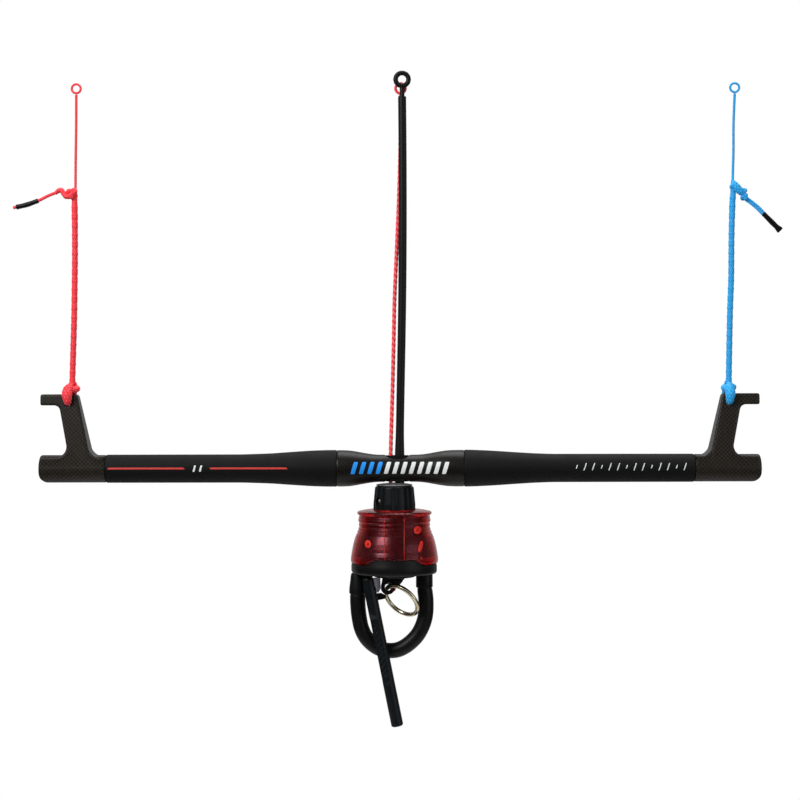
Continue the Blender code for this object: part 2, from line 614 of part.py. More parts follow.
def arch_outline(offset, far):
    """The area on one side of the parting line: below it, or above it."""
    reach = 45.0
    xs = np.concatenate([[-reach], np.linspace(-ARCH_FOOT_HALF, -ARCH_FLAT_HALF, 5),
                         np.linspace(ARCH_FLAT_HALF, ARCH_FOOT_HALF, 5), [reach]])
    line = [(AXIS_X + x, arch_height(x) + offset) for x in xs]
    return line + [(AXIS_X + reach, far), (AXIS_X - reach, far)]


def make_base():
    """The black base under the sleeve: slots for the loop's two ends, holes for its fasteners."""
    profile = [(0.0, ARCH_TOP - 0.15), (BASE_R - 0.6, ARCH_TOP - 0.15), (BASE_R, -70.0),
               (BASE_R, -78.0), (BASE_R - 1.6, BASE_BOTTOM), (BOSS_R, BASE_BOTTOM),
               (BOSS_R, BOSS_BOTTOM + 0.8), (BOSS_R - 0.8, BOSS_BOTTOM), (0.0, BOSS_BOTTOM)]
    base = lathe("release_base", profile, SWIVEL, (AXIS_X, 0.0, 0.0), "nylon", steps=32)
    above = plate("base_parting", arch_outline(-0.15, -60.0), 80.0, SWIVEL, (AXIS_X, 0.0, -70.0),
                  cutter=True)
    boolean(base, above)
    slot = block("pivot_slot", (40.0, 13.8, 24.0), SWIVEL, (11.4 + 20.0, 0.0, -76.0), cutter=True)
    boolean(base, slot)
    pin = rod("pivot_pin_hole", 1.65, 26.6, SWIVEL, LOOP_PIVOT, turn=(math.pi / 2, 0.0, 0.0),
              cutter=True)
    boolean(base, pin)
    socket = block("tongue_socket", (6.8, 10.4, 24.0), SWIVEL, (LEFT_LEG_X, 0.0, -76.0),
                   cutter=True)
    boolean(base, socket)
    pocket = block("latch_pocket", (9.4, 15.0, 10.0), SWIVEL, (-26.2, 0.0, -69.4), cutter=True)
    boolean(base, pocket)
    line_hole = rod("base_line_hole", 2.2, 40.0, SWIVEL, (AXIS_X, 0.0, -76.0), cutter=True)
    boolean(base, line_hole)
    for index, side in enumerate((-1, 1)):
        at = (AXIS_X, side * 12.0, -76.0)
        boolean(base, rod("base_screw_hole_" + str(index), 1.75, 40.0, SWIVEL, at, cutter=True))
        head_at = (AXIS_X, side * 12.0, BOSS_BOTTOM)
        boolean(base, rod("base_screw_seat_" + str(index), 3.1, 5.6, SWIVEL, head_at,
                          cutter=True))


def make_fasteners():
    """Screws from the base into the core, and the pins of loop, latch and stick."""
    for label, side in (("front", -1), ("rear", 1)):
        lathe("base_screw_" + label,
              [(0.0, -63.0), (1.4, -63.0), (1.4, -80.2), (2.8, -80.2), (2.8, -82.5), (0.0, -82.5)],
              SWIVEL, (AXIS_X, side * 12.0, 0.0), "steel", steps=14)
    across = (math.pi / 2, 0.0, 0.0)
    rod("loop_pin", 1.5, 26.0, SWIVEL, LOOP_PIVOT, "steel", turn=across)
    rod("latch_pin", 1.1, 11.0, SWIVEL, LATCH_PIVOT, "steel", turn=across, sides=12)
    rod("stick_pin", 1.15, 8.0, SWIVEL, STICK_PIVOT, "steel", turn=across, sides=12)


def make_latch():
    """A bell crank: its nose lies beside the tongue, its arm reaches up inside the sleeve."""
    x, _, z = LATCH_PIVOT
    outline = (arc((x, z), 2.4, -80.0, 60.0, 5)
               + [(-28.8, -68.2), (-28.8, -61.6), (-30.9, -61.6), (-31.3, -69.6),
                  (-29.5, -71.4), (-29.5, -73.2)])
    lever = plate("latch_lever", outline, 7.6, LATCH, LATCH_PIVOT, "nylon")
    hole = rod("latch_hole", 1.35, 12.0, LATCH, LATCH_PIVOT, turn=(math.pi / 2, 0.0, 0.0),
               cutter=True)
    boolean(lever, hole)


# ---------------------------------------------------------------- sleeve

def sleeve_profile():
    """The sleeve's section: flange and ribs outside, collar and spring ledge inside."""
    outside = [(SLEEVE_BORE_R, -31.2), (19.6, -31.2), (27.4, -32.5), (28.4, -33.6), (28.0, -34.9),
               (26.9, -35.8), (26.8, -37.2), (27.5, -38.6), (27.5, -40.2), (26.9, -41.6),
               (27.0, -45.5), (28.5, -48.5), (30.6, -54.6), (32.1, -60.7), (33.1, -66.5),
               (33.3, -70.0), (32.8, ARCH_FOOT)]
    inside = [(31.4, ARCH_FOOT), (31.6, -66.0), (29.9, LEDGE_UNDER), (15.2, LEDGE_UNDER),
              (15.2, LEDGE_TOP), (29.3, LEDGE_TOP), (27.0, -51.0), (24.9, -45.5),
              (24.8, -37.6), (SLEEVE_BORE_R, -36.2)]
    return outside + inside


def radial_turn(angle):
    """The turn that lays a rod's Z along a level direction at an angle from +X."""
    return Vector((math.cos(angle), math.sin(angle), 0.0)).to_track_quat("Z", "Y").to_euler()


def make_sleeve():
    """The translucent sleeve, its two grip panels and its two round plugs."""
    here = (AXIS_X, 0.0, 0.0)
    sleeve = lathe("release_sleeve", sleeve_profile(), SLEEVE, here, "red_plastic", steps=32,
                   ring=True)
    below = plate("sleeve_parting", arch_outline(0.15, -84.0), 80.0, SLEEVE,
                  (AXIS_X, 0.0, -70.0), cutter=True)
    boolean(sleeve, below)
    deep = 30.0
    for label, side in (("front", -1), ("back", 1)):
        window = block("window_" + label, (2.0 * PANEL_HALF, deep, 60.0), SLEEVE,
                       (AXIS_X, side * (PANEL_INSET + deep / 2.0), -52.0), cutter=True)
        boolean(sleeve, window)
        panel = lathe("sleeve_panel_" + label, sleeve_profile(), SLEEVE, here, "red_plastic",
                      steps=32, ring=True)
        boolean(panel, below)
        room = block("panel_room_" + label, (2.0 * (PANEL_HALF - GAP), deep, 60.0), SLEEVE,
                     (AXIS_X, side * (PANEL_INSET + GAP + deep / 2.0), -52.0), cutter=True)
        boolean(panel, room, "INTERSECT")
    for label, x, z, surface_r in (("left", -24.2, -55.8, 31.2), ("right", 13.0, -45.6, 28.0)):
        angle = -math.acos((x - AXIS_X) / surface_r)
        reach = surface_r - 1.6
        at = (AXIS_X + reach * math.cos(angle), reach * math.sin(angle), z)
        hole = rod("plug_hole_" + label, 2.95, 8.0, SLEEVE, at, turn=radial_turn(angle),
                   cutter=True)
        boolean(sleeve, hole)
        rod("sleeve_plug_" + label, 2.65, 3.4, SLEEVE, at, "red_plastic", turn=radial_turn(angle))


def make_spring():
    """The return spring, from the core's seat down to the sleeve's ledge."""
    turns, wire, radius = 4.5, 0.75, 17.4
    top = -41.0 - GAP - wire
    bottom = LEDGE_TOP + GAP + wire
    points = []
    for index in range(int(turns * 10) + 1):
        share = index / (turns * 10)
        angle = 2.0 * math.pi * turns * share
        points.append((AXIS_X + radius * math.cos(angle), radius * math.sin(angle),
                       top + (bottom - top) * share))
    place(tube_curve("return_spring", points, wire, (AXIS_X, 0.0, 0.0), resolution=0),
          SWIVEL, (AXIS_X, 0.0, 0.0), material="steel")


# ---------------------------------------------------------------- chicken loop

def make_loop():
    """The loop: a thick tube on a rope, between a hinged ferrule and one with a tongue."""
    pipe("loop_tube", LOOP_ROUTE, LOOP_R, LOOP_WALL, LOOP, "black_cord", 9.0, resolution=3)
    inner = ((18.2, 0.0, -85.5),) + LOOP_ROUTE[1:-1] + ((-32.5, 0.0, -90.5),)
    rope("loop_rope", inner, LOOP_ROPE_R, LOOP, "black_cord", 7.0)
    dome = arc((0.0, 0.0), FERRULE_R - 0.05, 90.0, 10.0, 6)
    right = lathe("right_ferrule",
                  [(0.0, FERRULE_R - 0.05)] + dome[1:] + [(FERRULE_R, -1.5), (FERRULE_R + 0.1, -14.4),
                                                         (3.1, -14.4), (3.1, -8.0), (0.0, -8.0)],
                  LOOP, LOOP_PIVOT, "nylon", steps=16)
    boolean(right, rod("ferrule_pin_hole", 1.65, 20.0, LOOP, LOOP_PIVOT,
                       turn=(math.pi / 2, 0.0, 0.0), cutter=True))
    left = lathe("left_ferrule",
                 [(0.0, -80.1), (5.6, -80.1), (6.2, -80.9), (6.2, -95.6), (3.1, -95.6),
                  (3.1, -89.0), (0.0, -89.0)],
                 LOOP, (LEFT_LEG_X, 0.0, 0.0), "nylon", steps=16)
    tongue = block("tongue", (TONGUE[0], TONGUE[1], TONGUE[2] + 2.0), LOOP,
                   (LEFT_LEG_X, 0.0, -80.1 + TONGUE[2] / 2.0 - 1.0), cutter=True)
    boolean(left, tongue, "UNION")


# ---------------------------------------------------------------- stick, ring and tabs

def make_stick():
    """The stick that keeps the hook in the loop, forked at the top over its bracket."""
    top = Vector(STICK_PIVOT)
    line = Vector(STICK_END) - top
    length = line.length
    lean = (0.0, -math.atan2(line.x, -line.z), 0.0)
    dome = arc((0.0, 0.0), STICK_R, 90.0, 0.0, 6)
    tip = [(STICK_R - 0.1, -length + 4.0), (STICK_R - 0.9, -length + 1.5),
           (STICK_R - 2.3, -length + 0.4), (0.0, -length)]
    stick = lathe("donkey_stick", [(0.0, STICK_R)] + dome[1:] + tip, STICK, STICK_PIVOT,
                  "black_cord", turn=lean, steps=16)
    fork = block("stick_fork", (14.0, 4.0, 11.0), STICK, (top.x, top.y, top.z + 1.2), cutter=True)
    boolean(stick, fork)
    pin = rod("stick_pin_hole", 1.35, 14.0, STICK, STICK_PIVOT, turn=(math.pi / 2, 0.0, 0.0),
              cutter=True)
    boolean(stick, pin)
    middle = top + line * 0.45
    flat_at = (middle.x, middle.y - STICK_R - 0.9, middle.z)
    flat = block("stick_flat", (9.5, 4.0, 54.0), STICK, flat_at, turn=lean, cutter=True)
    boolean(stick, flat)


def make_stick_bracket():
    x, y, z = STICK_PIVOT
    outline = [(x + 3.4, BASE_BOTTOM - GAP), (x - 3.4, BASE_BOTTOM - GAP)]
    outline += arc((x, z), 3.4, 180.0, 360.0, 7)
    bracket = plate("stick_bracket", outline, 3.2, SWIVEL, (x, y, z), "nylon")
    boolean(bracket, rod("bracket_pin_hole", 1.4, 12.0, SWIVEL, STICK_PIVOT,
                         turn=(math.pi / 2, 0.0, 0.0), cutter=True))


def make_ring():
    """The leash ring, the lug it swings in, and the two flat tabs beside it."""
    axis = RING_DOWN.cross(RING_ACROSS)
    torus("leash_ring", RING_R, RING_WIRE_R, RING, RING_CENTRE, "steel", axis=axis, steps=28,
          sides=8)
    x, _, z = RING_PIVOT
    top = BOSS_BOTTOM - GAP
    outline = ([(3.4, top), (-13.6, top), (-14.2, -86.5)] + arc((x, z), 5.4, 165.0, 345.0, 9)
               + [(0.6, -87.0)])
    lug = plate("ring_lug", outline, 3.2, SWIVEL, (x, RING_CENTRE[1], z), "nylon")
    turn = RING_ACROSS.to_track_quat("Z", "Y").to_euler()
    boolean(lug, rod("lug_eye", 2.75, 20.0, SWIVEL, tuple(RING_PIVOT), turn=turn, cutter=True))
    plate("grey_tab", [(-15.2, top), (-21.4, top), (-21.4, -93.0), (-16.6, -94.3), (-14.9, -91.0)],
          1.6, SWIVEL, (-18.0, -4.2, -88.0), "grey_webbing")
    plate("ring_strap", [(-11.0, -96.6), (-11.4, -98.8), (-19.0, -100.4), (-20.4, -94.9),
                         (-16.2, -94.7), (-14.6, -94.4)],
          1.6, SWIVEL, (-15.0, -4.2, -97.0), "black_cord")


def make_lower_safety():
    """The safety line below the swivel, down the shaft and out to its end knot."""
    rope("lower_safety_line", LOWER_SAFETY_ROUTE, SAFETY_R, SWIVEL, "red_cord", 7.0)
    lump("safety_knot", (2.1, 2.1, 2.4), SWIVEL, (-5.6, 1.5, -91.6), "red_cord")


def make_head_screw():
    """The set screw that locks the line in the head, seen in its hole at the front left."""
    angle = math.radians(-144.0)
    reach = 13.6
    at = (AXIS_X + reach * math.cos(angle), reach * math.sin(angle), -24.6)
    hole = rod("head_screw_hole", 2.6, 12.0, FRAME, at, turn=radial_turn(angle), cutter=True)
    boolean(bpy.data.objects["swivel_head"], hole)
    rod("head_screw", 2.25, 3.6, FRAME, at, "steel", turn=radial_turn(angle), sides=12)


make_bar_tubes()
make_grips()
make_hub()
make_bushing()
make_end("left_end_horn", -1)
make_end("right_end_horn", 1)
make_outside_lines()
make_middle_lines()
make_head()
make_head_screw()
make_swivel()
make_core()
make_base()
make_fasteners()
make_latch()
make_sleeve()
make_spring()
make_loop()
make_stick()
make_stick_bracket()
make_ring()
make_lower_safety()
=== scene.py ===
import math

import bmesh
import bpy
import numpy as np
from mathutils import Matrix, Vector

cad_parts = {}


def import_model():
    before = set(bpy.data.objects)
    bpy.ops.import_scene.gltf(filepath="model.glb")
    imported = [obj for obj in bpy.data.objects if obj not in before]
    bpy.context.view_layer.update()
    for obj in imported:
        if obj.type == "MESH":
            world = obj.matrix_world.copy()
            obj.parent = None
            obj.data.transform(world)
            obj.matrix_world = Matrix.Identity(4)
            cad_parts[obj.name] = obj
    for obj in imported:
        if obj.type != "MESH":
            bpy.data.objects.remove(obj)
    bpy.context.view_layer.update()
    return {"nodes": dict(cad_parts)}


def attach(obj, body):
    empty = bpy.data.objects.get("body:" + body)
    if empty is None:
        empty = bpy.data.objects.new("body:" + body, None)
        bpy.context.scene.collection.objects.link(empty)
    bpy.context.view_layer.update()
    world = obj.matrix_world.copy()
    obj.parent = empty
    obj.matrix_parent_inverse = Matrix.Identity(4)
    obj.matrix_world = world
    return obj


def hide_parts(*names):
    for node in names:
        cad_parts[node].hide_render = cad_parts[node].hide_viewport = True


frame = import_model()

# Kitesurf control bar. Sizes are millimetres from the bar's middle, and world() makes them metres.
MM = 0.001
HANG = np.array((2.0, -0.5, 303.0))
AXIS_X = -4.4


def world(points):
    """Bar millimetres to metres in the part's frame: take the hanging point away, then scale."""
    return (np.asarray(points, float) - HANG) * MM


# ---------------------------------------------------------------- camera

PICTURE_WIDTH = 609.6
CAMERA_BACK = 1300.0
camera_data = bpy.data.cameras.new("camera")
camera_data.sensor_width = 36.0
camera_data.lens = camera_data.sensor_width * CAMERA_BACK / PICTURE_WIDTH
camera = bpy.data.objects.new("camera", camera_data)
camera.location = world((0.0, -CAMERA_BACK, 52.0))
camera.rotation_euler = (math.pi / 2, math.radians(0.10), 0.0)
bpy.context.scene.collection.objects.link(camera)
bpy.context.scene.camera = camera


# ---------------------------------------------------------------- material tools

def linear(code):
    """sRGB hex to linear: below 0.04045 a division by 12.92, above it the 2.4 power law."""
    srgb = np.array([int(code[i:i + 2], 16) for i in (1, 3, 5)]) / 255.0
    value = np.where(srgb <= 0.04045, srgb / 12.92, ((srgb + 0.055) / 1.055) ** 2.4)
    return (*value.tolist(), 1.0)


def add(tree, kind, inputs=None, **settings):
    """Add a node. Settings go on the node, inputs are values or the sockets they come from."""
    node = tree.nodes.new(kind)
    for key, value in settings.items():
        setattr(node, key, value)
    for key, value in (inputs or {}).items():
        if isinstance(value, bpy.types.NodeSocket):
            tree.links.new(value, node.inputs[key])
        else:
            node.inputs[key].default_value = value
    return node


def new_material(name, **values):
    """A material with one Principled shader and its constant values on the shader's sockets."""
    material = bpy.data.materials.new(name)
    material.use_nodes = True
    tree = material.node_tree
    shader = tree.nodes["Principled BSDF"]
    for key, value in values.items():
        shader.inputs[key.replace("_", " ")].default_value = value
    return material, tree, shader


def place_on(tree, kind="Object"):
    """The point's own coordinates, in metres."""
    return add(tree, "ShaderNodeTexCoord").outputs[kind]


def noise(tree, grain, detail=3.0, stretch=None, where=None):
    """Noise whose grain is a size in millimetres, optionally stretched along the axes."""
    source = where or place_on(tree)
    if stretch:
        source = add(tree, "ShaderNodeMapping", {"Vector": source, "Scale": stretch}).outputs[0]
    return add(tree, "ShaderNodeTexNoise",
               {"Vector": source, "Scale": 1.0 / (grain * MM), "Detail": detail}).outputs[0]


def attribute(tree, name):
    """A number that the mesh carries at each point."""
    return add(tree, "ShaderNodeAttribute", attribute_name=name).outputs["Fac"]


def ramp(tree, value, stops):
    """A value to a colour, through stops of (position, hex)."""
    node = add(tree, "ShaderNodeValToRGB", {"Fac": value})
    elements = node.color_ramp.elements
    while len(elements) < len(stops):
        elements.new(0.5)
    for element, (position, code) in zip(elements, stops):
        element.position = position
        element.color = linear(code)
    return node.outputs["Color"]


def span(tree, value, low, high, start=0.0, end=1.0):
    """A value's range mapped to another one."""
    return add(tree, "ShaderNodeMapRange", {"Value": value, "From Min": start, "From Max": end,
                                            "To Min": low, "To Max": high}).outputs[0]


def bump(tree, shader, height, depth, strength=1.0, socket="Normal"):
    """Relief of a depth in millimetres on the shader."""
    node = add(tree, "ShaderNodeBump", {"Height": height, "Strength": strength,
                                        "Distance": depth * MM})
    tree.links.new(node.outputs[0], shader.inputs[socket])


def maths(tree, operation, first, second):
    """One Math node of two inputs."""
    return add(tree, "ShaderNodeMath", {0: first, 1: second}, operation=operation).outputs[0]


# ---------------------------------------------------------------- materials

def make_carbon(name, dark, body, light):
    """Carbon-fibre laminate under a thin satin lacquer: a twill of crossing tows, which gives
    dark diamonds 3.1 mm wide parted by thin brown-grey lines, with the fibres' fine streaks."""
    material, tree, shader = new_material(name, IOR=1.5, Specular_IOR_Level=0.16,
                                          Coat_Weight=0.04, Coat_Roughness=0.2)
    turned = add(tree, "ShaderNodeMapping", {"Vector": place_on(tree),
                                             "Rotation": (0.0, math.radians(45.0), 0.0)}).outputs[0]
    period = 2.2
    bands_in_a_unit = 20.0 / (2.0 * math.pi)
    scale = 1.0 / (bands_in_a_unit * period * MM)
    waves = [add(tree, "ShaderNodeTexWave", {"Vector": turned, "Scale": scale, "Distortion": 0.8,
                                             "Detail Scale": 1.5},
                 bands_direction=way).outputs["Fac"] for way in ("X", "Z")]
    weave = maths(tree, "MULTIPLY", waves[0], waves[1])
    streaks = noise(tree, 0.8, 4.0)
    lines = maths(tree, "MULTIPLY", span(tree, weave, 1.0, 0.25), span(tree, streaks, 0.3, 1.2))
    tree.links.new(ramp(tree, lines, ((0.0, dark), (0.45, body), (1.0, light))),
                   shader.inputs["Base Color"])
    tree.links.new(span(tree, noise(tree, 2.0), 0.34, 0.5), shader.inputs["Roughness"])
    bump(tree, shader, weave, 0.03, 0.4)
    return material


def make_grip_rubber():
    """Moulded EVA foam: matt, closed fine cells, with a pressed diamond pattern that the mesh
    carries. Through the relief its colour is painted shade, near black in the grooves, and a little
    lighter on the tops of the diamonds."""
    material, tree, shader = new_material("moulded_eva_foam", IOR=1.45, Specular_IOR_Level=0.16)
    cells = noise(tree, 0.5, 4.0)
    # Painted shade: near black in the grooves, lighter on the tops of the diamonds.
    tone = maths(tree, "MULTIPLY", attribute(tree, "relief"), span(tree, cells, 0.55, 1.25))
    tree.links.new(ramp(tree, tone, ((0.0, "#020202"), (0.55, "#0b0b0c"), (1.0, "#161617"))),
                   shader.inputs["Base Color"])
    tree.links.new(span(tree, noise(tree, 9.0), 0.58, 0.76), shader.inputs["Roughness"])
    bump(tree, shader, cells, 0.06, 0.6)
    return material


def make_moulded(name, dark, light, rough, grain=0.7, depth=0.03):
    """Injection-moulded plastic: an even spark-eroded grain with slow changes of tone, and a
    little more polish where hands rub it."""
    material, tree, shader = new_material(name, IOR=1.5, Specular_IOR_Level=0.15)
    slow = noise(tree, 12.0, 2.0)
    fine = noise(tree, grain, 3.0)
    tree.links.new(ramp(tree, span(tree, slow, 0.5, 1.1), ((0.25, dark), (0.75, light))),
                   shader.inputs["Base Color"])
    tree.links.new(span(tree, slow, rough - 0.08, rough + 0.1), shader.inputs["Roughness"])
    bump(tree, shader, fine, depth, 0.5)
    return material


def make_red_plastic():
    """Clear red polyurethane: dark where the black core lies behind it, bright where only the
    wall is seen edge on, with a satin skin that has light haze and rub marks."""
    material, tree, shader = new_material("clear_red_polyurethane", IOR=1.46,
                                          Transmission_Weight=1.0, Specular_IOR_Level=0.4,
                                          Specular_Tint=linear("#ffa4b4"))
    haze = noise(tree, 9.0, 2.0)
    tree.links.new(ramp(tree, haze, ((0.3, "#be1a18"), (0.7, "#cc2822"))),
                   shader.inputs["Base Color"])
    tree.links.new(span(tree, noise(tree, 6.0, 2.0, (1.0, 1.0, 0.3)), 0.22, 0.3),
                   shader.inputs["Roughness"])
    bump(tree, shader, haze, 0.02, 0.1)
    return material


def make_bright_red(name, dark, light):
    """Red polyurethane where light gathers in a cut edge or a plug, painted as a plain bright red glow.
    """
    material, tree, shader = new_material(name, IOR=1.46, Specular_IOR_Level=0.25)
    tree.links.new(ramp(tree, noise(tree, 2.5), ((0.3, dark), (0.7, light))),
                   shader.inputs["Base Color"])
    tree.links.new(span(tree, noise(tree, 1.2), 0.35, 0.5), shader.inputs["Roughness"])
    return material


def make_steel(name, warm, cool, rough, stretch=(1.0, 1.0, 1.0)):
    """Polished stainless steel: a mirror with faint drawn scratches and a warm tint."""
    material, tree, shader = new_material(name, Metallic=1.0)
    scratch = noise(tree, 0.9, 4.0, stretch)
    tree.links.new(ramp(tree, noise(tree, 6.0), ((0.35, warm), (0.65, cool))),
                   shader.inputs["Base Color"])
    tree.links.new(span(tree, scratch, rough, rough + 0.14), shader.inputs["Roughness"])
    bump(tree, shader, scratch, 0.01, 0.4)
    return material


def make_braid(name, groove, body, light, rough=0.55, gloss=0.35):
    """Coated polyethylene braid: rounded strands with grooves between them, which the mesh
    carries, and fine fibres along each strand. Through the relief its colour is painted shade in the
    grooves and painted highlight, pale, on the crowns."""
    material, tree, shader = new_material(name, IOR=1.48, Sheen_Weight=gloss * 0.5,
                                          Sheen_Roughness=0.4, Specular_IOR_Level=gloss)
    fibre = noise(tree, 0.45, 3.0)
    tone = maths(tree, "MULTIPLY", attribute(tree, "relief"), span(tree, fibre, 0.45, 1.5))
    # Painted shade and highlight: dark in the grooves, pale on the crowns.
    tree.links.new(ramp(tree, tone, ((0.0, groove), (0.35, body), (0.7, body), (1.0, light))),
                   shader.inputs["Base Color"])
    tree.links.new(span(tree, fibre, rough - 0.1, rough + 0.15), shader.inputs["Roughness"])
    bump(tree, shader, fibre, 0.05, 0.6)
    return material


def make_ink(name, code, dark):
    """Screen-printed ink: flat, slightly uneven in cover, satin."""
    material, tree, shader = new_material(name, IOR=1.45)
    tree.links.new(ramp(tree, noise(tree, 0.9, 3.0), ((0.3, dark), (0.5, code))),
                   shader.inputs["Base Color"])
    tree.links.new(span(tree, noise(tree, 3.0), 0.4, 0.6), shader.inputs["Roughness"])
    return material


CARBON = make_carbon("carbon_laminate", "#030302", "#13110e", "#39332a")
HUB_CARBON = make_carbon("dark_carbon_laminate", "#020202", "#080706", "#1e1a15")
GRIP = make_grip_rubber()
NYLON = make_moulded("moulded_black_nylon", "#050505", "#0c0c0d", 0.42)
HEAD_NYLON = make_moulded("moulded_blue_black_nylon", "#050607", "#0c0f11", 0.38)
TUBE = make_moulded("black_polyurethane_tube", "#050505", "#0c0c0c", 0.40, 0.9)
STICK_PLASTIC = make_moulded("moulded_black_pu_stick", "#06080a", "#0e1215", 0.36, 0.8)
SHEATH = make_braid("black_coated_braid", "#020203", "#09090a", "#131316", 0.42, 0.2)
CORE_NYLON = make_moulded("dark_red_brown_nylon", "#120605", "#2c120c", 0.6)
HEAT_SHRINK = make_moulded("black_heat_shrink", "#050505", "#0b0b0c", 0.35, 0.6)
GREY = make_moulded("moulded_grey_plastic", "#b0acbc", "#c8c4d2", 0.5, 0.5)
RED_PLASTIC = make_red_plastic()
# Painted glow: the two bright reds below stand for light gathered in the sleeve's seams, plugs, slot and
# dot.
GLOW_RED_EDGE = make_bright_red("painted_glow_red_edge", "#8a1a12", "#b02a1e")
GLOW_RED_PLUG = make_bright_red("painted_glow_red_plug", "#d5241c", "#f03a28")
PLUG_CORE = make_bright_red("plug_dark_middle", "#5a1210", "#7a1a14")
RING_STEEL = make_steel("polished_stainless_ring", "#b2a584", "#cfc5ae", 0.16)
STEEL = make_steel("turned_stainless", "#b8b8b8", "#d6d6d4", 0.22, (1.0, 1.0, 4.0))
# Painted shade: a darker copy of the steel for the screw ball in its hole and the washer under the hub.
DULL_SHADED_STEEL = make_steel("dull_shaded_stainless", "#8f8f90", "#a6a6a6", 0.5)
RED_BRAID = make_braid("red_polyethylene_braid", "#b80c16", "#ff3440", "#ff8489")
BLUE_BRAID = make_braid("blue_polyethylene_braid", "#0478b8", "#10aaf4", "#8ed6fb")
RED_INK = make_ink("red_ink", "#cf3a34", "#b22e2a")
BLUE_INK = make_ink("blue_ink", "#1a9bff", "#168ae6")
WHITE_INK = make_ink("white_ink", "#e9eded", "#cfd5d6")


# ---------------------------------------------------------------- mesh tools

def tidy_mesh(mesh, crease=35.0):
    """Weld equal points, drop empty faces, turn the faces outwards and shade by angle."""
    shape = bmesh.new()
    shape.from_mesh(mesh)
    bmesh.ops.remove_doubles(shape, verts=shape.verts, dist=1e-6)
    bmesh.ops.dissolve_degenerate(shape, edges=shape.edges, dist=1e-7)
    bmesh.ops.recalc_face_normals(shape, faces=shape.faces)
    shape.to_mesh(mesh)
    shape.free()
    mesh.shade_smooth()
    mesh.set_sharp_from_angle(angle=math.radians(crease))


def solid_object(name, points, faces, material, relief=None, crease=35.0):
    """A mesh object from bar millimetres, with its relief kept as a number at each point."""
    mesh = bpy.data.meshes.new(name)
    mesh.from_pydata(world(points).tolist(), [], faces)
    if relief is not None:
        layer = mesh.attributes.new("relief", "FLOAT", "POINT")
        layer.data.foreach_set("value", np.asarray(relief, float).ravel())
    tidy_mesh(mesh, crease)
    thing = bpy.data.objects.new(name, mesh)
    bpy.context.scene.collection.objects.link(thing)
    mesh.materials.append(material)
    return thing


def grid_faces(rows, columns, wrap_rows, wrap_columns):
    """Quads between neighbouring points of a grid, going round where it is wrapped."""
    i, j = np.meshgrid(np.arange(rows if wrap_rows else rows - 1),
                       np.arange(columns if wrap_columns else columns - 1), indexing="ij")
    i, j = i.ravel(), j.ravel()
    down, across = (i + 1) % rows, (j + 1) % columns
    quads = (i * columns + j, down * columns + j, down * columns + across, i * columns + across)
    return np.stack(quads, 1)


def surface(name, grid, material, wrap_rows=False, relief=None, crease=35.0):
    """A grid of (rows, columns, 3) points, closed round its columns. A row that has shrunk to
    one point is a pole, and wrapped rows make a ring-shaped solid."""
    rows, columns = grid.shape[:2]
    faces = grid_faces(rows, columns, wrap_rows, True)
    return solid_object(name, grid.reshape(-1, 3), faces.tolist(), material, relief, crease)


def turned(name, profile, centre, material, axis="Z", steps=96, wrap=False, shape=None,
           relief=None, crease=35.0):
    """A surface of revolution: each (radius, height) of the profile goes once round the axis.
    shape(x, y, z) may then move the points."""
    radius, height = np.array(profile, float).T
    angle = np.linspace(0.0, 2.0 * math.pi, steps, endpoint=False)
    a = radius[:, None] * np.cos(angle)
    b = radius[:, None] * np.sin(angle)
    h = np.broadcast_to(height[:, None], a.shape)
    x, y, z = (a, b, h) if axis == "Z" else (h, a, b)
    x, y, z = x + centre[0], y + centre[1], z + centre[2]
    if shape:
        x, y, z = shape(x, y, z)
    return surface(name, np.stack([x, y, z], 2), material, wrap, relief, crease)


def smooth_route(route, spacing):
    """Even points on the Catmull-Rom curve through a route's own points."""
    route = np.array(route, float)
    route = np.vstack([2.0 * route[0] - route[1], route, 2.0 * route[-1] - route[-2]])
    t = np.linspace(0.0, 1.0, 24, endpoint=False)[:, None]
    fine = [0.5 * (2.0 * b + (c - a) * t + (2.0 * a - 5.0 * b + 4.0 * c - d) * t ** 2
                   + (3.0 * b - 3.0 * c + d - a) * t ** 3)
            for a, b, c, d in zip(route[:-3], route[1:-2], route[2:-1], route[3:])]
    return even_points(np.vstack(fine + [route[-2:-1]]), spacing)


def even_points(curve, spacing):
    """Points at equal steps of arc length along a polyline."""
    travelled = arc_length(curve)
    places = np.linspace(0.0, travelled[-1], max(3, int(round(travelled[-1] / spacing)) + 1))
    return np.column_stack([np.interp(places, travelled, curve[:, i]) for i in range(3)])


def arc_length(path):
    """Distance travelled along a polyline at each of its points."""
    return np.concatenate([[0.0], np.cumsum(np.linalg.norm(np.diff(path, axis=0), axis=1))])


def sweep_grid(path, radius, sides, up=(0.0, 1.0, 0.0), closed=False):
    """A circle carried along a path, square to it. radius is one number, one for each path
    point, or a (points, sides) array. An open sweep is closed by a pole at each end."""
    if closed:
        tangent = np.roll(path, -1, 0) - np.roll(path, 1, 0)
    else:
        tangent = np.gradient(path, axis=0)
    tangent /= np.linalg.norm(tangent, axis=1)[:, None]
    side = np.cross(tangent, up)
    side /= np.linalg.norm(side, axis=1)[:, None]
    front = np.cross(side, tangent)
    angle = np.linspace(0.0, 2.0 * math.pi, sides, endpoint=False)
    radius = np.asarray(radius, float)
    if radius.ndim == 1:
        radius = radius[:, None]
    radius = np.broadcast_to(radius, (len(path), sides))
    ring = (np.cos(angle)[None, :, None] * side[:, None]
            + np.sin(angle)[None, :, None] * front[:, None])
    grid = path[:, None] + radius[..., None] * ring
    if not closed:
        ends = [np.repeat(path[i][None, None], sides, 1) for i in (0, -1)]
        grid = np.concatenate([ends[0], grid, ends[1]])
    return grid


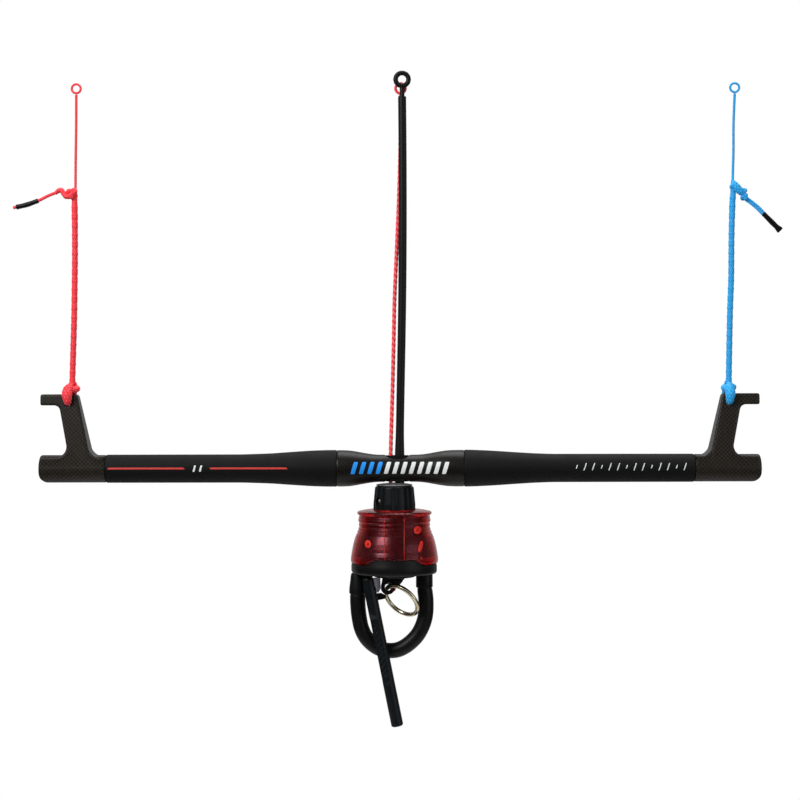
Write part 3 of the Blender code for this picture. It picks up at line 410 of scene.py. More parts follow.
def braid(length, sides, pitch, strands):
    """Relief of a braid, 0 in the grooves and 1 on the crowns: two families of strands cross at
    one slope, and each crossing is the product of two cosines. Fewer than four strands are laid
    as a twisted rope, with one family alone."""
    angle = np.linspace(0.0, 2.0 * math.pi, sides, endpoint=False)[None, :]
    along = math.pi * length[:, None] / pitch
    if strands < 4:
        return np.abs(np.cos(strands * angle / 2.0 - along)) ** 0.7
    return np.abs(np.cos(strands * angle / 2.0 + along)
                  * np.cos(strands * angle / 2.0 - along)) ** 0.55


def braided(name, path, radius, material, pitch, strands=8, height=0.10, sides=24, closed=False,
            up=(0.0, 1.0, 0.0)):
    """A braided cord: a circle on a path, with its radius lowered in the braid's grooves by a
    share of itself."""
    length = arc_length(path)
    crown = braid(length, sides, pitch, strands)
    radius = np.broadcast_to(np.asarray(radius, float).reshape(-1, 1), (len(path), 1))
    grid = sweep_grid(path, radius * (1.0 - height + height * crown), sides, up, closed)
    if not closed:
        crown = np.vstack([crown[:1], crown, crown[-1:]])
    return surface(name, grid, material, closed, crown, crease=70.0)


def modified(thing, crease=35.0, weld=True):
    """Apply the object's modifiers to its mesh."""
    bpy.context.view_layer.update()
    graph = bpy.context.evaluated_depsgraph_get()
    mesh = bpy.data.meshes.new_from_object(thing.evaluated_get(graph))
    thing.modifiers.clear()
    thing.data = mesh
    if weld:
        tidy_mesh(mesh, crease)
    return thing


def cut(thing, cutter, operation="DIFFERENCE"):
    """Cut, join or intersect with a cutter that is then thrown away."""
    step = thing.modifiers.new("cut", "BOOLEAN")
    step.operation = operation
    step.solver = "EXACT"
    step.object = cutter
    modified(thing)
    bpy.data.objects.remove(cutter, do_unlink=True)
    return thing


def box_cutter(low, high):
    """A box between two corners."""
    points = [(x, y, z) for x in (low[0], high[0]) for y in (low[1], high[1])
              for z in (low[2], high[2])]
    faces = [(0, 1, 3, 2), (4, 6, 7, 5), (0, 4, 5, 1), (2, 3, 7, 6), (0, 2, 6, 4), (1, 5, 7, 3)]
    return solid_object("cutter", points, faces, NYLON)


def rod_cutter(start, end, radius, steps=32):
    """A cylinder between two points."""
    start, end = np.array(start, float), np.array(end, float)
    up = (1.0, 0.0, 0.0) if abs((end - start)[0]) < np.abs(end - start).max() else (0.0, 1.0, 0.0)
    return surface("cutter", sweep_grid(np.linspace(start, end, 3), radius, steps, up), NYLON)


def finish(thing, body, slot, *nodes):
    """Hang a piece on the body that it rides on and hide the CAD nodes that it stands for. The slot, its
    finish, is not used.
    """
    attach(thing, body)
    if nodes:
        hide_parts(*nodes)
    return thing


def badge(name, on, centre, half, material, slant=0.0, lift=0.12, power=6.0, turn=0.0):
    """A thin printed or set-in mark: a superellipse of the given half sizes and power, slanted
    and turned, laid on the surface on(x, z, lift), with its rim let into it."""
    rho = np.linspace(0.0, 1.0, 7)[:, None]
    angle = np.linspace(0.0, 2.0 * math.pi, 48, endpoint=False)[None, :]
    reach = (np.abs(np.cos(angle)) ** power + np.abs(np.sin(angle)) ** power) ** (-1.0 / power)
    u = rho * reach * np.cos(angle) * half[0]
    v = rho * reach * np.sin(angle) * half[1]
    u = u + slant * v
    x = centre[0] + u * math.cos(turn) - v * math.sin(turn)
    z = centre[1] + u * math.sin(turn) + v * math.cos(turn)
    height = np.broadcast_to(lift * (1.0 - rho ** 10) - 0.06 * rho ** 10, x.shape)
    front = np.stack([x, on(x, z, height), z], 2)
    back = np.stack([x, on(x, z, np.full_like(x, -0.06)), z], 2)[::-1]
    return surface(name, np.concatenate([front, back[1:]]), material)


# ---------------------------------------------------------------- cords

# The horns' holes for the leaders, by side of the bar, and their height
HOLE_X = {-1: 251.9, 1: 249.9}
HOLE_Z = 50.3

DEPOWER_ROUTE = ((-0.4, 0.0, -18.2), (-0.35, 0.0, 12.0), (0.1, 0.0, 40.0), (0.8, -0.1, 75.0),
                 (1.5, -0.2, 110.0), (2.0, -0.3, 145.0), (2.3, -0.4, 185.0), (2.3, -0.5, 235.0),
                 (2.0, -0.5, 283.0))
SAFETY_ROUTE = ((-4.4, 0.0, -28.9), (-4.5, 0.0, -27.2), (-5.7, 0.0, -23.5), (-7.1, 0.0, -18.0),
                (-7.2, 0.0, 0.0), (-7.1, 0.1, 15.0), (-6.6, 0.2, 32.0), (-5.7, 0.4, 60.0),
                (-4.8, 0.8, 95.0), (-4.0, 1.3, 130.0), (-2.2, 2.3, 170.0), (-0.5, 3.5, 210.0),
                (0.6, 4.1, 250.0), (0.8, 4.2, 285.0))
LOWER_SAFETY_ROUTE = ((-4.4, 0.0, -29.4), (-4.4, 0.0, -55.0), (-4.4, 0.0, -80.0),
                      (-4.4, 0.2, -85.0), (-4.9, 0.9, -88.9))
LEFT_LEADER_ROUTE = ((-249.7, 0.0, 64.6), (-248.9, 0.0, 90.0), (-248.2, 0.0, 113.0),
                     (-247.8, 0.0, 136.0), (-247.5, 0.0, 160.0), (-247.5, 0.0, 185.0),
                     (-247.8, 0.0, 204.2))
RIGHT_LEADER_ROUTE = ((250.5, 0.0, 64.6), (250.9, 0.0, 88.0), (251.6, 0.0, 120.0),
                      (252.5, 0.0, 145.0), (252.8, 0.0, 175.0), (253.6, 0.0, 200.8))
LEFT_LINE_ROUTE = ((-247.0, 0.0, 214.6), (-246.8, 0.0, 235.0), (-246.4, 0.0, 262.0),
                   (-246.3, 0.0, 285.0))
RIGHT_LINE_ROUTE = ((253.8, 0.0, 218.4), (254.0, 0.0, 228.0), (254.4, 0.0, 242.0),
                    (254.5, 0.0, 262.0), (255.4, 0.0, 285.0))
LEFT_TAIL_ROUTE = ((-260.6, 0.0, 210.9), (-267.5, 0.0, 208.2), (-275.2, 0.0, 204.4),
                   (-284.0, 0.0, 201.3), (-294.4, 0.0, 199.0))
RIGHT_TAIL_ROUTE = ((264.0, 0.0, 204.9), (269.3, 0.0, 201.0), (274.0, 0.0, 196.9),
                    (276.9, 0.0, 193.8), (283.5, 0.0, 187.1), (289.3, 0.0, 181.4))
LOOP_ROUTE = ((18.6, 0.0, -92.1), (19.5, 0.0, -101.0), (19.2, 0.0, -111.0), (17.0, 0.0, -119.5),
              (12.6, 0.0, -127.5), (6.0, 0.0, -134.0), (-1.0, 0.0, -137.9), (-7.5, 0.0, -138.9),
              (-14.0, 0.0, -138.0), (-20.5, 0.0, -134.5), (-26.0, 0.0, -129.0),
              (-29.7, 0.0, -121.5), (-31.6, 0.0, -112.0), (-32.4, 0.0, -103.0),
              (-32.5, 0.0, -95.9))


def ring_path(centre, radius, first, second, count):
    """A circle in the plane of two unit vectors."""
    angle = np.linspace(0.0, 2.0 * math.pi, count, endpoint=False)[:, None]
    return (np.array(centre) + radius * (np.cos(angle) * np.array(first)
                                         + np.sin(angle) * np.array(second)))


def eye(name, centre, radius, cord_radius, material, pitch):
    """A small loop of the cord, spliced at the line's end."""
    path = ring_path(centre, radius, (1.0, 0.0, 0.0), (0.0, 0.0, 1.0), 96)
    return braided(name, path, cord_radius, material, pitch, sides=16, closed=True)


def knot(name, centre, half, cord_radius, material, turn=0.0, pitch=2.4):
    """An overhand knot drawn tight: the trefoil (sin t + 2 sin 2t, cos t - 2 cos 2t, -sin 3t),
    squeezed into half sizes and turned in the front plane."""
    t = np.linspace(0.0, 2.0 * math.pi, 360, endpoint=False)
    u = (np.sin(t) + 2.0 * np.sin(2.0 * t)) / 2.75 * (half[0] - cord_radius)
    v = (np.cos(t) - 2.0 * np.cos(2.0 * t)) / 2.75 * (half[2] - cord_radius)
    y = -np.sin(3.0 * t) * (half[1] - cord_radius)
    x = u * math.cos(turn) - v * math.sin(turn)
    z = u * math.sin(turn) + v * math.cos(turn)
    path = np.stack([x, y, z], 1) + np.array(centre)
    return braided(name, path, cord_radius, material, pitch, height=0.14, sides=20, closed=True)


def larks_head(side, name, material, top):
    """The lark's head round the horn: a fat lobe comes down in front and narrows into the hole,
    two strands go up behind, and a collar lies round them under the leader."""
    x = side * HOLE_X[side]
    front = smooth_route(((top[0] + side * 0.2, -2.6, 63.6), (x - side * 0.1, -6.0, 60.4),
                          (x + side * 0.3, -8.4, 57.0), (x, -8.8, 53.4), (x, -7.4, 51.0),
                          (x, -3.0, HOLE_Z), (x, 2.0, HOLE_Z)), 0.35)
    share = np.linspace(0.0, 1.0, len(front))
    wide = np.interp(share, (0.0, 0.22, 0.42, 0.62, 0.78, 1.0), (2.6, 3.9, 4.0, 2.9, 2.4, 2.3))
    lobe = braided(name + "_larks_head_lobe", front, wide, material, 3.4, height=0.14, sides=28,
                   up=(1.0, 0.0, 0.0))
    back = []
    for index, shift in enumerate((-1.6, 1.6)):
        path = smooth_route(((x + shift * 0.5, 0.0, 50.5), (x + shift * 0.8, 6.6, 51.4),
                             (x + shift, 8.6, 55.2), (top[0] + shift, 5.4, 61.4),
                             (top[0] + shift * 0.6, 1.4, 65.6)), 0.35)
        back.append(braided(name + "_larks_head_back_" + str(index), path, 1.9, material, 3.0,
                            height=0.13, sides=18, up=(1.0, 0.0, 0.0)))
    round_it = ring_path((top[0] - side * 0.2, -0.4, 61.2), 1.0, (3.5, 0.0, side * 0.3),
                         (0.0, 3.6, 0.8), 120)
    collar = braided(name + "_larks_head_collar", round_it, 2.5, material, 3.0, height=0.14,
                     sides=20, closed=True, up=(0.0, 0.0, 1.0))
    return [lobe, collar] + back


def make_outside_set(side, name, material, slot, leader, line, tail, top_of_leader):
    """Lark's head, leader, flying line with its loop, and tail on one end of the bar."""
    strands = larks_head(side, name, material, leader[0])
    finish(strands[0], "bar", slot, name + "_leader_loop")
    for strand in strands[1:]:
        finish(strand, "bar", slot)
    path = smooth_route(leader[:-1] + top_of_leader, 0.4)
    length = arc_length(path)
    share = length / length[-1]
    girth = (2.35 + 0.10 * np.sin(length * 0.9) + 0.07 * np.sin(length * 2.1 + 1.0)
             - 0.55 * np.exp(-((share - 1.0) / 0.035) ** 2)
             + 0.12 * np.exp(-((share - 0.88) / 0.05) ** 2))
    body = finish(braided(name + "_leader_cord", path, girth, material, 3.8, 8, 0.2), "bar", slot,
                  name + "_leader")
    line = ((line[0][0], 0.0, line[0][2] - 3.0),) + line
    thin = smooth_route(line, 0.3)
    flying = finish(braided(name + "_flying_cord", thin, 1.05, material, 2.0, 4, 0.14, 14), "bar",
                    slot, name + "_flying_line")
    end = thin[-1]
    top_eye = finish(eye(name + "_line_loop", end + np.array((0.0, 0.0, 4.6)), 3.4, 0.9, material,
                         2.0), "bar", slot, name + "_line_eye")
    thin = smooth_route(tail, 0.3)
    if side > 0:
        shift = np.array((0.72, 0.0, 0.62))
        pair = [braided(name + "_tail_cord_" + label, thin + way * shift, 0.95, material, 2.0, 4,
                        0.12, 14) for label, way in (("a", -1.0), ("b", 1.0))]
    else:
        pair = [braided(name + "_tail_cord", thin, 1.25, material, 2.0, 4, 0.12, 14)]
    for index, piece in enumerate(pair):
        finish(piece, "bar", slot, *([] if index else [name + "_tail"]))


make_outside_set(-1, "left", RED_BRAID, "red_cord", LEFT_LEADER_ROUTE, LEFT_LINE_ROUTE,
                 LEFT_TAIL_ROUTE, ((-247.7, 0.0, 204.2), (-247.3, 0.0, 211.0)))
make_outside_set(1, "right", BLUE_BRAID, "blue_cord", RIGHT_LEADER_ROUTE, RIGHT_LINE_ROUTE,
                 RIGHT_TAIL_ROUTE, ((253.5, 0.0, 200.8), (254.0, 0.0, 209.0), (253.9, 0.0, 216.4)))


def knot_strand(name, route, radii, material, node=None):
    """A strand of a knot: a braided cord on its own short route, with its own radii."""
    path = smooth_route(route, 0.3)
    wide = np.interp(np.linspace(0.0, 1.0, len(path)), np.linspace(0.0, 1.0, len(radii)), radii)
    piece = braided(name, path, wide, material, 3.0, 6, 0.16, 24)
    slot = "red_cord" if material == RED_BRAID else "blue_cord"
    return finish(piece, "bar", slot, *([node] if node else []))


def make_knots():
    """The knots that join leaders, flying lines and tails: on the left a trefoil and an arched
    strand, on the right a diagonal strand with a nub and the doubled tail's two small knots."""
    finish(knot("left_joining_knot", (-249.4, -0.6, 209.6), (4.9, 4.0, 4.9), 2.1, RED_BRAID, 0.4),
           "bar", "red_cord")
    knot_strand("left_arched_strand", ((-262.4, 0.0, 209.6), (-260.0, -0.8, 211.6),
                                       (-257.5, -1.4, 212.0), (-255.7, -1.8, 209.6),
                                       (-253.8, -2.2, 207.4), (-251.0, -2.6, 207.4),
                                       (-248.9, -2.2, 209.8), (-247.6, -0.8, 211.8)),
                (1.2, 1.9, 2.1, 2.0, 2.1, 2.2, 2.1, 1.6), RED_BRAID, "left_leader_knot")
    knot_strand("right_diagonal_strand", ((253.5, 0.0, 219.0), (254.4, -0.8, 216.6),
                                          (256.4, -1.6, 213.6), (258.8, -1.6, 210.8),
                                          (261.6, -0.6, 208.8)),
                (1.3, 2.7, 3.2, 3.1, 2.4), BLUE_BRAID, "right_leader_knot")
    knot_strand("right_side_nub", ((254.8, -1.6, 215.4), (252.8, -1.4, 214.4), (252.2, -0.6, 212.8)),
                (1.4, 1.7, 1.2), BLUE_BRAID)
    finish(knot("right_tail_knot_upper", (261.8, -0.6, 210.6), (2.9, 2.9, 2.9), 1.5, BLUE_BRAID, 0.2),
           "bar", "blue_cord")
    finish(knot("right_tail_knot_lower", (262.6, -0.4, 206.2), (3.3, 2.9, 3.1), 1.6, BLUE_BRAID, 0.9),
           "bar", "blue_cord")


make_knots()


def tail_sleeve(name, route, radius, flare, node):
    """A shrunk sleeve on a tail: a tube that necks a little and flares at its far end."""
    path = smooth_route(route, 0.4)
    share = np.linspace(0.0, 1.0, len(path))
    girth = radius * (1.0 - 0.05 * np.sin(share * 9.0)) + flare * np.clip(share * 4.0 - 3.0, 0, 1)
    rim = np.minimum(share, 1.0 - share) * arc_length(path)[-1]
    girth = girth - 0.5 * np.clip(1.0 - rim / 0.6, 0.0, 1.0) ** 2
    piece = surface(name, sweep_grid(path, girth, 24), HEAT_SHRINK)
    return finish(piece, "bar", "black_cord", node)


tail_sleeve("left_sleeve_tube", LEFT_TAIL_ROUTE[2:4] + ((-292.2, 0.0, 199.4),), 1.85, 0.2,
            "left_tail_sleeve")
tail_sleeve("right_sleeve_tube", RIGHT_TAIL_ROUTE[3:5] + ((290.1, 0.0, 180.6),), 1.95, 0.9,
            "right_tail_sleeve")


def make_depower_line():
    """The coated middle line, thicker where it leaves the head, with its upper loop."""
    depower_path = smooth_route(DEPOWER_ROUTE, 0.45)
    depower_girth = 3.15 + 0.55 * np.exp(-(np.maximum(depower_path[:, 2] - 8.0, 0.0) / 14.0) ** 2)
    depower = braided("depower_line", depower_path, depower_girth, SHEATH, 2.2, 12, 0.05, 32)
    finish(depower, "line_set", "black_cord", "depower_sheath", "depower_core")
    depower_loop = finish(eye("depower_loop", (2.0, -0.5, 303.0 - 6.8), 4.9, 1.9, SHEATH, 2.2),
                          "line_set", "black_cord", "depower_eye")
    depower_end = braided("depower_end", smooth_route(((2.0, -0.5, 282.0), (2.0, -0.5, 286.0),
                                                       (2.0, -0.5, 290.2)), 0.4), 1.9, SHEATH, 2.2)
    finish(depower_end, "line_set", "black_cord")


def make_safety_lines():
    """The thin red twist beside the middle line, and its lower run through the release."""
    safety_path = smooth_route(SAFETY_ROUTE, 0.4)
    safety = finish(braided("safety_cord", safety_path, 1.6, RED_BRAID, 4.4, 2, 0.26, 20), "line_set",
                    "red_cord", "safety_line")
    safety_loop = finish(eye("safety_loop", (0.8, 4.2, 290.2), 3.8, 1.1, RED_BRAID, 2.2), "line_set",
                         "red_cord", "safety_eye")

    lower_path = smooth_route(LOWER_SAFETY_ROUTE, 0.4)
    lower = finish(braided("lower_safety_cord", lower_path, 1.3, RED_BRAID, 2.4, 6, 0.14, 16),
                   "release", "red_cord", "lower_safety_line")
    lower_knot = finish(knot("lower_safety_knot", (-5.6, 1.5, -91.4), (2.4, 2.2, 2.6), 0.95,
                             RED_BRAID, 0.5), "release", "red_cord", "safety_knot")


make_depower_line()
make_safety_lines()


# ---------------------------------------------------------------- bar

LEFT_GRIP_STATIONS = ((-223.5, 10.75), (-121.0, 10.8), (-113.7, 11.0), (-98.5, 11.5),
                      (-83.2, 12.6), (-68.0, 13.6), (-55.8, 14.0), (-48.2, 14.0))
RIGHT_GRIP_STATIONS = ((48.9, 14.1), (56.0, 14.0), (69.2, 13.4), (84.4, 12.4), (99.6, 11.4),
                       (114.9, 10.8), (130.0, 10.8), (223.5, 10.75))
HUB_STATIONS = ((-47.9, 13.9), (-39.5, 13.8), (-36.0, 13.4), (-31.4, 12.5), (-26.9, 11.7),
                (-22.3, 10.9), (-17.7, 10.35), (14.3, 10.35), (18.9, 10.8), (23.4, 11.6),
                (28.0, 12.5), (33.3, 13.4), (39.0, 13.9), (48.6, 13.9))
TUBE_BORE_R = 8.5
STUB_START, BAR_HALF = 223.8, 273.8
STUB_R = 10.5


def soft_steps(x, stations):
    """Radii between stations, evened out with a short running mean so that no corner is left."""
    xs, rs = np.array(stations).T
    shifts = np.linspace(-4.0, 4.0, 9)
    return np.mean([np.interp(np.clip(x + shift, xs[0], xs[-1]), xs, rs) for shift in shifts], 0)


def make_grip(name, stations, node):
    """A grip: its radius follows the stations, its ends are rounded over 0.35 mm, and a diamond
    pattern 3 mm across is pressed in, the product of two crossing cosines, fading to a fifth
    of its depth above the bar's middle."""
    start, stop = stations[0][0], stations[-1][0]
    x = np.linspace(start, stop, int((stop - start) / 0.55))
    radius = soft_steps(x, stations)
    edge = np.minimum(x - start, stop - x)
    radius = radius - 0.35 * (1.0 - np.sqrt(1.0 - np.clip(1.0 - edge / 0.35, 0.0, 1.0) ** 2))
    columns = 132
    angle = np.linspace(0.0, 2.0 * math.pi, columns, endpoint=False)[None, :]
    rows = math.pi * x[:, None] / 3.0
    crown = np.abs(np.cos(11.0 * angle + rows) * np.cos(11.0 * angle - rows)) ** 0.7
    # Where the pattern fades the relief stays high, so the upper half is also painted lighter all over,
    # as light from above.
    front_top = np.clip(0.5 + 2.2 * np.sin(angle), 0.0, 1.0)
    crown = 1.0 - (1.0 - crown) * (1.0 - 0.8 * front_top)
    outer = radius[:, None] - 0.12 * (1.0 - crown)
    full = np.concatenate([np.full((1, columns), TUBE_BORE_R), outer,
                           np.full((1, columns), TUBE_BORE_R)])
    along = np.concatenate([x[:1], x, x[-1:]])
    grid = np.stack([np.broadcast_to(along[:, None], full.shape), full * np.cos(angle),
                     full * np.sin(angle)], 2)
    relief = np.concatenate([crown[:1], crown, crown[-1:]])
    return finish(surface(name, grid, GRIP, True, relief, 50.0), "bar", "foam", node)


make_grip("left_foam_grip", LEFT_GRIP_STATIONS, "left_grip")
make_grip("right_foam_grip", RIGHT_GRIP_STATIONS, "right_grip")


def make_hub():
    """The waisted hub, turned about the bar, with the slot for the lines cut through it."""
    left_end, right_end = HUB_STATIONS[0][0], HUB_STATIONS[-1][0]
    x = np.linspace(right_end, left_end, 150)
    radius = soft_steps(x, HUB_STATIONS)
    edge = np.minimum(x - left_end, right_end - x)
    radius = radius - 0.25 * np.clip(1.0 - edge / 0.3, 0.0, 1.0) ** 2
    profile = [(0.0, 16.5), (TUBE_BORE_R, 16.5), (TUBE_BORE_R, right_end)]
    profile += list(zip(radius, x))
    profile += [(TUBE_BORE_R, left_end), (TUBE_BORE_R, -19.5), (0.0, -19.5)]
    hub = turned("hub_shell", profile, (0.0, 0.0, 0.0), HUB_CARBON, "X", 96)
    liner = 1.9
    left, right, half = -10.2 - liner, 6.2 + liner, 5.5 + liner
    angle = np.linspace(-math.pi / 2, math.pi / 2, 17)
    xs = np.concatenate([right - half + half * np.cos(angle), left + half - half * np.cos(angle)])
    ys = np.concatenate([half * np.sin(angle), -half * np.sin(angle)])
    ring = np.stack([xs, ys, np.zeros_like(xs)], 1)
    centre = np.repeat(ring.mean(0)[None], len(ring), 0)
    reach = np.array((0.0, 0.0, 20.0))
    grid = np.stack([centre - reach, ring - reach, ring + reach, centre + reach])
    return finish(cut(hub, surface("cutter", grid, NYLON)), "bar", "carbon", "center_hub")


make_hub()


def horn_outline():
    """The right horn's outline from the front, as arcs joined by straight runs."""
    def arc(centre, radius, start, end, count):
        angle = np.radians(np.linspace(start, end, count))
        return np.stack([centre[0] + radius * np.cos(angle), centre[1] + radius * np.sin(angle)], 1)
    return np.vstack([arc((227.3, 19.0), 9.6, -80.0, -24.0, 9), arc((247.2, 54.2), 2.6, 175.0, 90.0, 6),
                      arc((271.8, 55.5), 1.3, 90.0, 0.0, 5), arc((271.8, 49.6), 1.3, 0.0, -90.0, 5),
                      arc((262.6, 43.7), 4.6, 90.0, 172.0, 9), arc((260.4, 16.9), 7.6, 172.0, 262.0, 10),
                      [(272.4, 9.3), (272.4, 0.3), (224.6, 0.3), (224.6, 9.5)]])


def make_horn(side, name, node):
    """An end piece: the horn's outline in layers through its depth, its edges rounded, joined to
    the round stub and smoothed as one, with the hole for the leader."""
    outline = horn_outline()
    ahead = np.roll(outline, -1, 0) - np.roll(outline, 1, 0)
    inward = np.stack([ahead[:, 1], -ahead[:, 0]], 1) / np.linalg.norm(ahead, axis=1)[:, None]
    root_height, tip_height = 8.0, 56.8
    root_half, tip_half = 10.3, 5.4
    layers = []
    for depth, inset in ((-9.9, 1.3), (-9.5, 0.5), (-8.6, 0.0), (8.6, 0.0), (9.5, 0.5),
                         (9.9, 1.3)):
        flat = outline + inward * inset
        share = np.clip((flat[:, 1] - root_height) / (tip_height - root_height), 0.0, 1.0)
        y = depth * (root_half + share * (tip_half - root_half)) / 9.9
        layers.append(np.stack([flat[:, 0], y, flat[:, 1]], 1))
    grid = np.stack(layers)
    count = len(outline)
    faces = grid_faces(len(layers), count, False, True).tolist()
    faces += [list(range(count))[::-1], list(range(count * (len(layers) - 1), count * len(layers)))]
    horn = solid_object("horn", grid.reshape(-1, 3), faces, CARBON)
    xs = np.linspace(STUB_START, BAR_HALF, 60)
    rounding = STUB_R - 0.9 * np.clip(1.0 - (BAR_HALF - xs) / 0.9, 0.0, 1.0) ** 2
    profile = [(0.0, BAR_HALF)] + list(zip(rounding[::-1], xs[::-1])) + [(0.0, STUB_START)]

    def round_below(x, y, z):
        corner = 7.5
        drop = np.minimum(z + 3.5, 0.0)
        limit = BAR_HALF - corner + np.sqrt(np.maximum(corner ** 2 - drop ** 2, 0.0))
        return np.minimum(x, limit), y, z

    stub = turned(name, profile, (0.0, 0.0, 0.0), CARBON, "X", 72, shape=round_below)
    cut(stub, horn, "UNION")
    hole = HOLE_X[side]
    cut(stub, rod_cutter((hole, -20.0, HOLE_Z), (hole, 20.0, HOLE_Z), 2.7))
    step = stub.modifiers.new("even", "REMESH")
    step.mode = "VOXEL"
    step.voxel_size = 0.5 * MM
    soften = stub.modifiers.new("soften", "SMOOTH")
    soften.factor = 0.5
    soften.iterations = 7
    modified(stub, 60.0)
    if side < 0:
        points = np.zeros(len(stub.data.vertices) * 3)
        stub.data.vertices.foreach_get("co", points)
        points = points.reshape(-1, 3)
        points[:, 0] = -points[:, 0] - 2.0 * HANG[0] * MM
        stub.data.vertices.foreach_set("co", points.ravel())
        tidy_mesh(stub.data, 60.0)
    return finish(stub, "bar", "carbon", node)


make_horn(-1, "left_end_piece", "left_end_horn")
make_horn(1, "right_end_piece", "right_end_horn")


def on_bar(stations, extra=0.0):
    """The bar's front surface: at (x, z) it lies at -sqrt(radius(x)^2 - z^2), less the lift."""
    def place(x, z, lift):
        radius = soft_steps(x, stations) + extra + lift
        return -np.sqrt(np.maximum(radius ** 2 - z ** 2, 0.0))
    return place


on_left, on_right, on_hub = on_bar(LEFT_GRIP_STATIONS), on_bar(RIGHT_GRIP_STATIONS), on_bar(HUB_STATIONS)


def make_marks():
    """Generic printing: two pinstripes and two ticks on the left grip, a row of thin ticks on
    the right grip, and slanted blue and white bars on the hub."""
    for index, (start, stop) in enumerate(((-221.9, -162.4), (-145.0, -85.0))):
        middle = (start + stop) / 2.0
        stripe = badge("pinstripe_" + str(index), on_left, (middle, 0.5),
                       ((stop - start) / 2.0, 0.75), RED_INK, power=24.0)
        finish(stripe, "bar", "red_plastic")
    for index, x in enumerate((-155.6, -150.8)):
        finish(badge("size_tick_" + str(index), on_left, (x, 0.4), (0.75, 2.5), WHITE_INK, 0.25),
               "bar", "foam")
    for index in range(14):
        tall = 2.9 if index % 3 else 1.4
        finish(badge("grip_tick_" + str(index), on_right, (133.6 + 6.3 * index, 1.3),
                     (0.42, tall), WHITE_INK, 0.35), "bar", "foam")
    for index in range(12):
        ink = BLUE_INK if index < 4 else WHITE_INK
        finish(badge("hub_bar_" + str(index), on_hub, (-34.6 + 6.27 * index, 0.7),
                     (1.75, 5.0), ink, 0.3, 0.08, 10.0), "bar", "carbon")


make_marks()


# ---------------------------------------------------------------- swivel head

def make_head():
    """The fluted head. Its radius is the profile's, less ten grooves round it: each is a bell
    curve of the angle, 1.2 mm deep. Its set screw's ball and its steel washer come with it."""
    flutes = 10.0
    z = np.concatenate([[-12.95], np.linspace(-12.95, -36.5, 60), [-36.5, -18.5, -18.5]])
    top = np.interp(-z[1:61], (12.95, 13.4, 14.6, 21.0, 27.2, 36.5),
                    (12.6, 13.6, 14.8, 15.4, 16.0, 16.0))
    radius = np.concatenate([[0.0], top, [11.0, 11.0, 0.0]])
    angle = np.linspace(0.0, 2.0 * math.pi, 200, endpoint=False)[None, :]
    phase = (angle * flutes / (2.0 * math.pi) + 0.5) % 1.0 - 0.5
    groove = np.exp(-(phase / 0.11) ** 2)
    depth = np.zeros(len(z))
    depth[1:61] = 1.2 * np.clip((-z[1:61] - 13.4) / 2.0, 0.0, 1.0)
    full = radius[:, None] - depth[:, None] * groove
    turn = math.pi / flutes
    grid = np.stack([AXIS_X + full * np.cos(angle + turn), full * np.sin(angle + turn),
                     np.broadcast_to(z[:, None], full.shape)], 2)
    head = surface("fluted_head", grid, HEAD_NYLON)
    screw_angle = math.radians(-144.0)
    way = np.array((math.cos(screw_angle), math.sin(screw_angle), 0.0))
    at = np.array((AXIS_X, 0.0, -24.6))
    cut(head, rod_cutter(at + way * 12.4, at + way * 20.0, 3.0))
    finish(head, "line_set", "nylon", "swivel_head")
    # The ball and the washer take the darker steel: painted shade.
    ball = turned("screw_ball", [(2.0 * math.cos(a), 2.0 * math.sin(a)) for a in
                                 np.radians(np.linspace(90.0, -90.0, 17))],
                  at + way * 12.7, DULL_SHADED_STEEL, steps=32)
    finish(ball, "line_set", "steel", "head_screw")
    plate = turned("head_washer", [(0.0, -10.8), (6.0, -11.25), (10.0, -11.6), (13.5, -12.2),
                                   (13.8, -12.4), (13.8, -12.9), (13.6, -12.95), (0.0, -12.95)],
                   (AXIS_X, 0.0, 0.0), DULL_SHADED_STEEL)
    finish(plate, "line_set", "steel")


make_head()


# ---------------------------------------------------------------- release

ARCH_TOP, ARCH_FOOT = -67.5, -71.7


def arch_height(x):
    """Height of the parting line: flat over the middle 26 mm, then an S-curve down to the foot."""
    share = np.clip((24.0 - np.abs(x - AXIS_X)) / 11.0, 0.0, 1.0)
    return ARCH_FOOT + (ARCH_TOP - ARCH_FOOT) * share ** 2 * (3.0 - 2.0 * share)


SLEEVE_OUTSIDE = ((19.6, -31.2), (24.0, -31.8), (27.4, -32.6), (28.3, -33.3), (28.4, -34.0),
                  (28.0, -34.9), (26.9, -35.5), (26.8, -36.3), (27.5, -37.4), (27.6, -38.8),
                  (27.5, -40.0), (27.2, -41.2), (27.1, -42.6), (27.2, -44.5), (27.9, -47.0),
                  (28.9, -49.8), (30.0, -52.8), (31.0, -56.0), (31.9, -60.0), (32.7, -64.5),
                  (33.2, -68.0), (33.3, -70.0), (32.8, ARCH_FOOT))
SLEEVE_TOP = SLEEVE_OUTSIDE[0][1]
RIB_GROOVES = (-37.9, -41.2, -44.5, -46.8, -49.1)
WINDOW_HALF = 7.5
WINDOW_GAP = 0.3


def sleeve_radius(z):
    """The sleeve's outer radius: the profile, with five narrow grooves between its ribs, each a
    bell curve 0.45 mm deep."""
    radii, heights = np.array(SLEEVE_OUTSIDE).T
    radius = np.interp(-z, -heights, radii)
    for groove in RIB_GROOVES:
        radius = radius - 0.45 * np.exp(-((z - groove) / 0.55) ** 2)
    return radius


